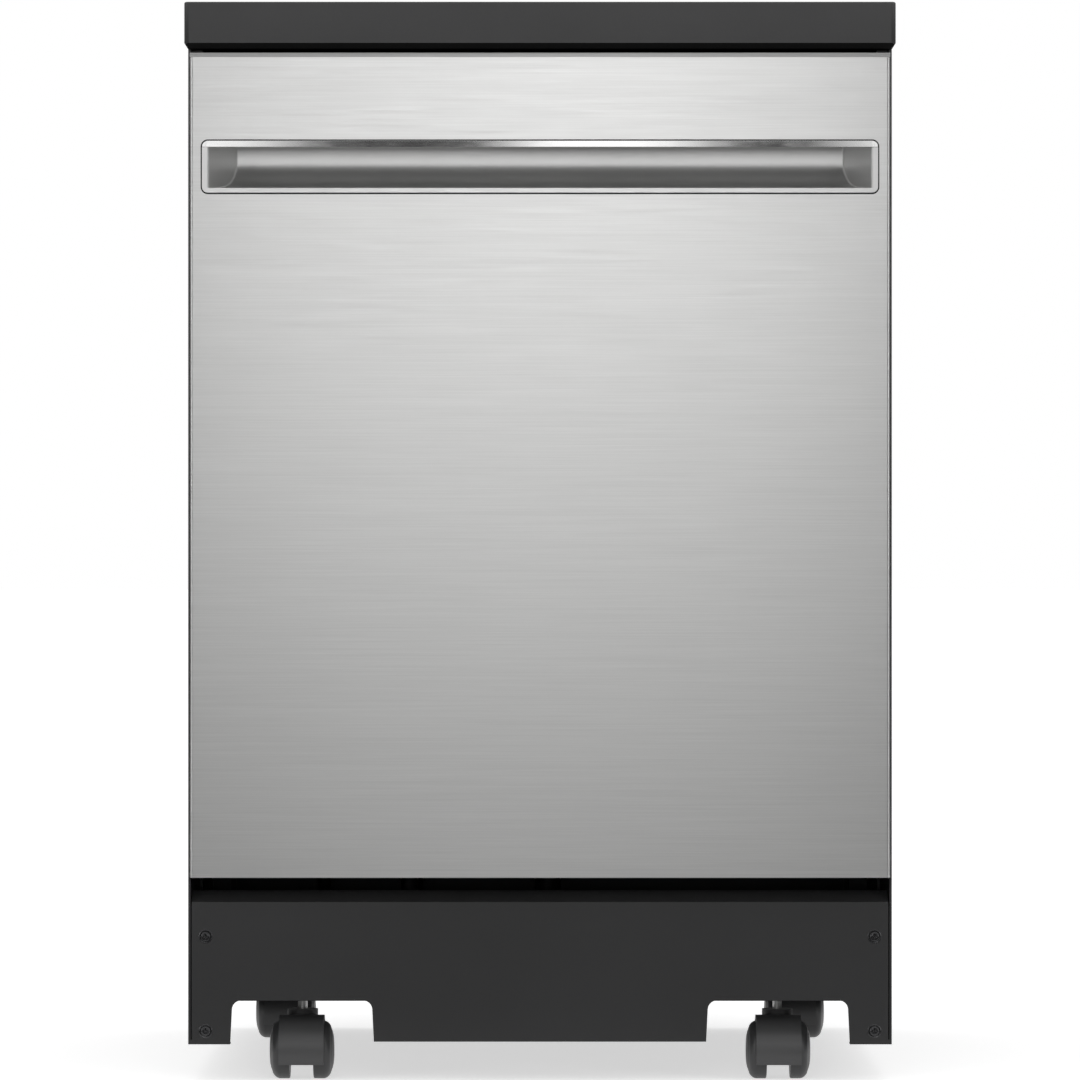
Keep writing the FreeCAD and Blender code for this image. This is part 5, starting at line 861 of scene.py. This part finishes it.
def wheel_profile(width, radius):
    """A spoked wheel's section: tyre, recessed face and hub, as (x, radius) corners."""
    edge = 0.12 * width
    web = 0.3 * width
    rim, hub = 0.74 * radius, 0.42 * radius
    half = width / 2
    side = [(half - edge, radius), (half, radius - edge), (half, rim), (half - web, rim - edge),
            (half - web, hub + edge), (half, hub), (half, WHEEL_BORE)]
    return side + [(-x, r) for x, r in reversed(side)]


def make_rollers(node, body, material):
    """Turned wheels in place of the CAD discs of a node."""
    parts = []
    for low, high in solid_boxes(node):
        size = high - low
        parts.append(lathe(wheel_profile(size.x, size.z / 2), (low + high) / 2))
    made = mesh_object(node + "_turned", parts, material)
    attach(made, body)
    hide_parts(node)


def make_stud_rollers(node, body, wheel_outside, material):
    """Turned rollers on studs in place of the CAD ones, the wheel at the stud's outer or inner end."""
    groove = [(-0.5, 0.0), (-0.5, 0.55), (-0.38, 0.6), (-0.38, 0.86), (-0.5, 0.9), (-0.44, 1.0)]
    groove += [(-x, r) for x, r in reversed(groove)]
    parts = []
    for low, high in solid_boxes(node):
        side = math.copysign(1, low.x)
        centre = (low + high) / 2
        inner, outer = sorted((abs(low.x), abs(high.x)))
        radius = (high.z - low.z) / 2
        wheel_x = outer - ROLLER_T / 2 if wheel_outside else inner + ROLLER_T / 2
        wheel = [(x * ROLLER_T, r * radius) for x, r in groove]
        parts.append(lathe(wheel, (side * wheel_x, centre.y, centre.z)))
        reach = (outer - inner) / 2
        stud = [(-reach, 0.0), (-reach, ROLLER_STUD_R), (reach, ROLLER_STUD_R), (reach, 0.0)]
        parts.append(lathe(stud, centre, 24))
    made = mesh_object(node + "_turned", parts, material)
    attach(made, body)
    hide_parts(node)


def make_springs():
    """Wound balance springs in place of the CAD sleeves, with a hook at each end."""
    low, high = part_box("door_springs")
    wire = SPRING_WIRE_R
    radius = (high.z - low.z) / 2 - wire
    z = (low.z + high.z) / 2
    y0, y1 = low.y + 2 * wire, high.y - SPRING_TAIL - 2 * wire
    steps = COIL_STEPS * round((y1 - y0) / (SPRING_PITCH * wire))
    paths = []
    for x in (low.x + radius + wire, high.x - radius - wire):
        coil = []
        for i in range(steps + 1):
            a = 2 * math.pi * i / COIL_STEPS
            coil.append((x + radius * math.cos(a), y0 + (y1 - y0) * i / steps, z + radius * math.sin(a)))
        paths.append((coil, wire, False))
        paths.append(([(x + radius, y0, z), (x, y0 - wire, z), (x, low.y, z)], wire, False))
        paths.append(([(x + radius, y1, z), (x, y1 + wire, z), (x, high.y, z)], wire, False))
    made = wires("balance_spring_coils", paths, steel_stem())
    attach(made, "cabinet")
    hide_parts("door_springs")


# ======== handle
def make_handle_frame(material):
    """The frame's satin sides and bottom, one U with softened edges."""
    low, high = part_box("handle_trim")
    top = high.z - FRAME_TOP - FRAME_GAP
    section = [(share, low.y + edge * FRAME_EDGE) for share, edge in FRAME_SECTION]
    section = [(0.0, high.y)] + section + [(1.0, high.y)]
    points = []
    for share, y in section:
        r = FRAME_R + (FRAME_INNER_R - FRAME_R) * share
        side = high.x - share * FRAME_SIDE
        round_z = low.z + share * FRAME_BOTTOM + r
        loop = arc(r - side, round_z, r, 180, 270, 10) + arc(side - r, round_z, r, 270, 360, 10)
        points += [(x, y, z) for x, z in [(-side, top)] + loop + [(side, top)]]
    faces = bar_faces(len(section), len(points) // len(section))
    made = mesh_object("handle_frame", [(points, faces)], material, TRIM_CRISP)
    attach(made, "door")
    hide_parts("handle_trim")


def make_handle_grip(material):
    """The polished top bar: its face leans back a little and its outer corners are rounded."""
    low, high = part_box("handle_trim")
    face, back = low.y, high.y
    corner = arc(high.x - FRAME_R, FRAME_TOP - FRAME_R, FRAME_R, 0, 90, 10)
    outline = [(-x, z) for x, z in corner] + list(reversed(corner))
    edge = 0.5 * FRAME_EDGE
    section = [(0.0, back), (0.0, face + edge), (0.03, face), (0.97, face + GRIP_LEAN),
               (1.0, face + GRIP_LEAN + edge), (1.0, back)]
    points = [(x, y, high.z - FRAME_TOP + share * z) for share, y in section for x, z in outline]
    faces = bar_faces(len(section), len(outline))
    made = mesh_object("handle_grip", [(points, faces)], material, TRIM_CRISP)
    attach(made, "door")


def pocket_section(low, high):
    """The pocket's section as (depth, z): floor, bend, upright back and roof."""
    bend_z = low + POCKET_FLOOR_RISE + POCKET_BEND
    bend_d = POCKET_DEPTH - POCKET_BEND
    section = [(bend_d * i / 6, low + POCKET_FLOOR_RISE * (i / 6) ** 2) for i in range(6)]
    section += arc(bend_d, bend_z, POCKET_BEND, -90, 0, 18)
    top, r = high + POCKET_UNDERCUT, POCKET_ROOF_R
    section += [(POCKET_DEPTH, bend_z + (top - r - bend_z) * i / 8) for i in range(1, 9)]
    section += [(POCKET_DEPTH - 0.3 * r, top - 0.3 * r), (POCKET_DEPTH - r, top)]
    return section + [(POCKET_DEPTH / 2, top), (r, top)]


def soft_min(a, b, blend):
    """The smaller of two numbers, with a smooth change from one to the other."""
    gap = max(blend - abs(a - b), 0.0) / blend
    return min(a, b) - gap * gap * blend / 4


def make_pocket(material):
    """The hand pocket: one satin shell with leaning ends and a small fillet where they meet the back."""
    low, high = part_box("handle_trim")
    half = high.x - FRAME_SIDE
    section = pocket_section(low.z + FRAME_BOTTOM, high.z - FRAME_TOP)
    reach = POCKET_SLANT * (POCKET_DEPTH + POCKET_PAST)
    ends = [half - reach * (i / 44) for i in range(45)]
    xs = [-x for x in ends] + [0.0] + list(reversed(ends))
    points = []
    for depth, z in section:
        for x in xs:
            wall = (half - abs(x)) / POCKET_SLANT
            points.append((x, high.y + max(soft_min(depth, wall, POCKET_FILLET), 0.0), z))
    made = mesh_object("handle_pocket", [(points, grid_faces(len(section), len(xs)))], material)
    shell = made.modifiers.new("wall", "SOLIDIFY")
    shell.thickness = POCKET_WALL
    shell.offset = 1.0 if made.data.polygons[0].normal.z < 0 else -1.0
    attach(made, "door")
    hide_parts("handle_scoop")


def make_pocket_highlight_beads(material):
    """A fine light-grey bead along the line where each leaning end meets the pocket's floor and back: a
    painted highlight along that line.
    """
    low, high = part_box("handle_trim")
    half = high.x - FRAME_SIDE
    roof = high.z - FRAME_TOP
    line = [(d, z) for d, z in pocket_section(low.z + FRAME_BOTTOM, roof) if d > BEAD_START and z < roof]
    runs = [([(side * (half - POCKET_SLANT * d), high.y + d - BEAD_PROUD, z) for d, z in line], BEAD_R, False)
            for side in (-1, 1)]
    made = wires("handle_pocket_highlight_beads", runs, material)
    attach(made, "door")


def make_handle_gap_shade(material):
    """The black strip round the frame, its lip just over the edge of the door's cut-out: painted shade of the
    gap there, made as a rubber seal.
    """
    low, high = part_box("handle_trim")
    points = []
    for grow, depth in GAP_SHADE_RINGS:
        r = max(FRAME_R + grow, GAP_SHADE_LEAST_R)
        y = DOOR_FACE_Y - GAP_SHADE_PROUD + depth
        side, foot, top = high.x + grow - r, low.z - grow + r, high.z + grow - r
        for x, z, start in ((side, top, 0), (-side, top, 90), (-side, foot, 180), (side, foot, 270)):
            points += [(x, y, z) for x, z in arc(x, z, r, start, start + 90, 8)]
    rows = len(GAP_SHADE_RINGS)
    faces = grid_faces(rows, len(points) // rows, closed=True, ringed=True)
    made = mesh_object("handle_gap_shade", [(points, faces)], material)
    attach(made, "door")


# ======== studio
def make_camera():
    """The photograph's level, straight view of the door."""
    data = bpy.data.cameras.new("camera")
    data.sensor_width = SENSOR
    data.lens = SENSOR * CAMERA_DISTANCE / VIEW_WIDTH
    data.clip_end = CAMERA_CLIP
    camera = new_object("camera", data)
    camera.location = (0, DOOR_FACE_Y - CAMERA_DISTANCE, CAMERA_HEIGHT)
    camera.rotation_euler = (math.radians(90), 0, 0)
    bpy.context.scene.camera = camera


def combined(tree, operation, *values):
    """The output of a maths node over sockets or plain numbers."""
    made = tree.nodes.new("ShaderNodeMath")
    made.operation = operation
    for target, value in zip(made.inputs, values):
        if isinstance(value, float):
            target.default_value = value
        else:
            tree.links.new(value, target)
    return made.outputs["Value"]


def seen_ray(tree):
    """1 for the rays that show a background: camera, glossy and transmission rays."""
    rays = tree.nodes.new("ShaderNodeLightPath").outputs
    seen = combined(tree, "MAXIMUM", rays["Is Camera Ray"], rays["Is Glossy Ray"])
    return combined(tree, "MAXIMUM", seen, rays["Is Transmission Ray"])


def studio_sheet(name, points, material, mirrored_only=True, faces=((0, 1, 2, 3),)):
    """A flat sheet that isn't part of the machine; with mirrored_only, only gloss shows it."""
    made = mesh_object(name, [(points, faces)], material)
    if mirrored_only:
        made.visible_camera = False
        made.visible_diffuse = False
        made.visible_shadow = False
        made.visible_transmission = False


def make_floor():
    """A wide pale floor with faint mottling, lifted towards white for the rays that show it."""
    s = Surface("floor_pale", (0.72, 0.72, 0.72), 0.85)
    s.tint(s.noise(2.0), 0.99, 1.01)
    s.bump(s.noise(120.0), 0.1 * MM, 0.1)
    away = s.node("ShaderNodeVectorMath")
    away.operation = "LENGTH"
    s.link(s.place, away.inputs[0])
    level = s.ranged(away.outputs["Value"], *FLOOR_LIFT, *FLOOR_LIFT_REACH)
    lift = s.node("ShaderNodeEmission")
    s.link(combined(s.tree, "MULTIPLY", seen_ray(s.tree), level), lift.inputs["Strength"])
    both = s.node("ShaderNodeAddShader")
    s.link(s.shader.outputs["BSDF"], both.inputs[0])
    s.link(lift.outputs["Emission"], both.inputs[1])
    s.link(both.outputs["Shader"], s.tree.nodes["Material Output"].inputs["Surface"])
    w = FLOOR_SIZE
    studio_sheet("floor", [(-w, -w, 0), (w, -w, 0), (w, w, 0), (-w, w, 0)], s.material, mirrored_only=False)


def make_dark_sheets():
    """Dark cloth before the machine, up behind the camera and at the sides, for polished metal to mirror."""
    s = Surface("cove_cloth", (0.02, 0.02, 0.02), 0.95)
    s.tint(s.noise(30.0), 0.9, 1.1)
    x, near, far, top, low = COVE_HALF_WIDTH, -COVE_NEAR, -COVE_FAR, COVE_TOP, SHEET_FOOT
    points = [(-x, near, low), (x, near, low), (x, far, low), (-x, far, low), (x, far, top), (-x, far, top)]
    studio_sheet("studio_front", points, s.material, faces=((0, 1, 2, 3), (3, 2, 4, 5)))
    for side, name in ((-1, "studio_flag_left"), (1, "studio_flag_right")):
        x = side * FLAG_X
        points = [(x, FLAG_NEAR, low), (x, FLAG_FAR, low), (x, FLAG_FAR, FLAG_TOP), (x, FLAG_NEAR, FLAG_TOP)]
        studio_sheet(name, points, s.material)


def make_strip_card():
    """A dark card with three soft bright strips above the view, for the handle's polished bar to mirror."""
    s = Surface("strip_card", (0, 0, 0), 1.0)
    split = s.node("ShaderNodeSeparateXYZ")
    s.link(s.place, split.inputs[0])

    def step(start, end):
        """0 to 1 from start to end, along x."""
        made = s.node("ShaderNodeMapRange", From_Min=start, From_Max=end)
        made.interpolation_type = "SMOOTHSTEP"
        s.link(split.outputs["X"], made.inputs["Value"])
        return made.outputs["Result"]

    centre = combined(s.tree, "MULTIPLY", step(*STRIP_CENTRE_RISE), step(*STRIP_CENTRE_FALL))
    outer = combined(s.tree, "ADD", step(*STRIP_LEFT), step(*STRIP_RIGHT))
    total = combined(s.tree, "ADD", centre, combined(s.tree, "MULTIPLY", outer, STRIP_ENDS))
    glow = s.node("ShaderNodeEmission")
    s.link(s.ranged(total, STRIP_DARK, STRIP_BRIGHT, 0.0, 1.0), glow.inputs["Strength"])
    s.link(glow.outputs["Emission"], s.tree.nodes["Material Output"].inputs["Surface"])
    x, y, (low, high) = STRIP_HALF_WIDTH, STRIP_Y, STRIP_Z
    points = [(-x, y, low), (x, y, low), (x, y, high), (-x, y, high)]
    studio_sheet("studio_strips", points, s.material)


def make_world():
    """Even light from all round, and plain white where the background itself is seen or mirrored."""
    world = bpy.data.worlds.new("studio")
    bpy.context.scene.world = world
    world.use_nodes = True
    tree = world.node_tree
    mix = tree.nodes.new("ShaderNodeMixShader")
    tree.links.new(seen_ray(tree), mix.inputs["Fac"])
    lighting, seen = tree.nodes["Background"], tree.nodes.new("ShaderNodeBackground")
    for i, (background, level) in enumerate(((lighting, WORLD_LEVEL), (seen, 1.0))):
        background.inputs["Color"].default_value = (1, 1, 1, 1)
        background.inputs["Strength"].default_value = level
        tree.links.new(background.outputs["Background"], mix.inputs[1 + i])
    tree.links.new(mix.outputs["Shader"], tree.nodes["World Output"].inputs["Surface"])


def area_light(name, place, target, width, height, power, mirrored):
    """A rectangular lamp that the camera doesn't see."""
    data = bpy.data.lights.new(name, "AREA")
    data.shape = "RECTANGLE"
    data.size = width
    data.size_y = height
    data.energy = power
    light = new_object(name, data)
    light.location = place
    way = Vector(target) - Vector(place)
    light.rotation_euler = way.to_track_quat("-Z", "Y").to_euler()
    light.visible_camera = False
    light.visible_glossy = mirrored


# ======== build
make_camera()
make_floor()
make_dark_sheets()
make_strip_card()
make_world()
for lamp in LAMPS:
    area_light(*lamp)
dress_nodes()
make_racks()
wheel_grey = plastic("wheel_grey", (0.28, 0.29, 0.3), 0.38)
make_rollers("rack_wheels_front", "lower_rack_front_wheels", wheel_grey)
make_rollers("rack_wheels_rear", "lower_rack_rear_wheels", wheel_grey)
make_stud_rollers("rail_rollers", "cabinet", False, wheel_grey)
make_stud_rollers("rack_rollers", "upper_rack_carriage", True, wheel_grey)
make_pocket_fittings()
make_console_marks()
make_springs()
make_handle_frame(satin_trim())
# light-grey beads: painted highlight in the pocket's inner corners
make_pocket_highlight_beads(plastic("painted_highlight_bead", (0.54, 0.54, 0.53), 0.4))
make_handle_grip(chrome())
make_pocket(scoop_metal())
# black strip round the handle: painted shade of its gap
make_handle_gap_shade(rubber())
# the top bar's darker steel: painted shade on the door's own stainless
make_top_bar(top_bar_shaded_steel())
# black rods in the toe panel's side gaps: painted shade
make_toe_gap_shade(rubber())

bpy.context.scene.view_settings.view_transform = "Standard"
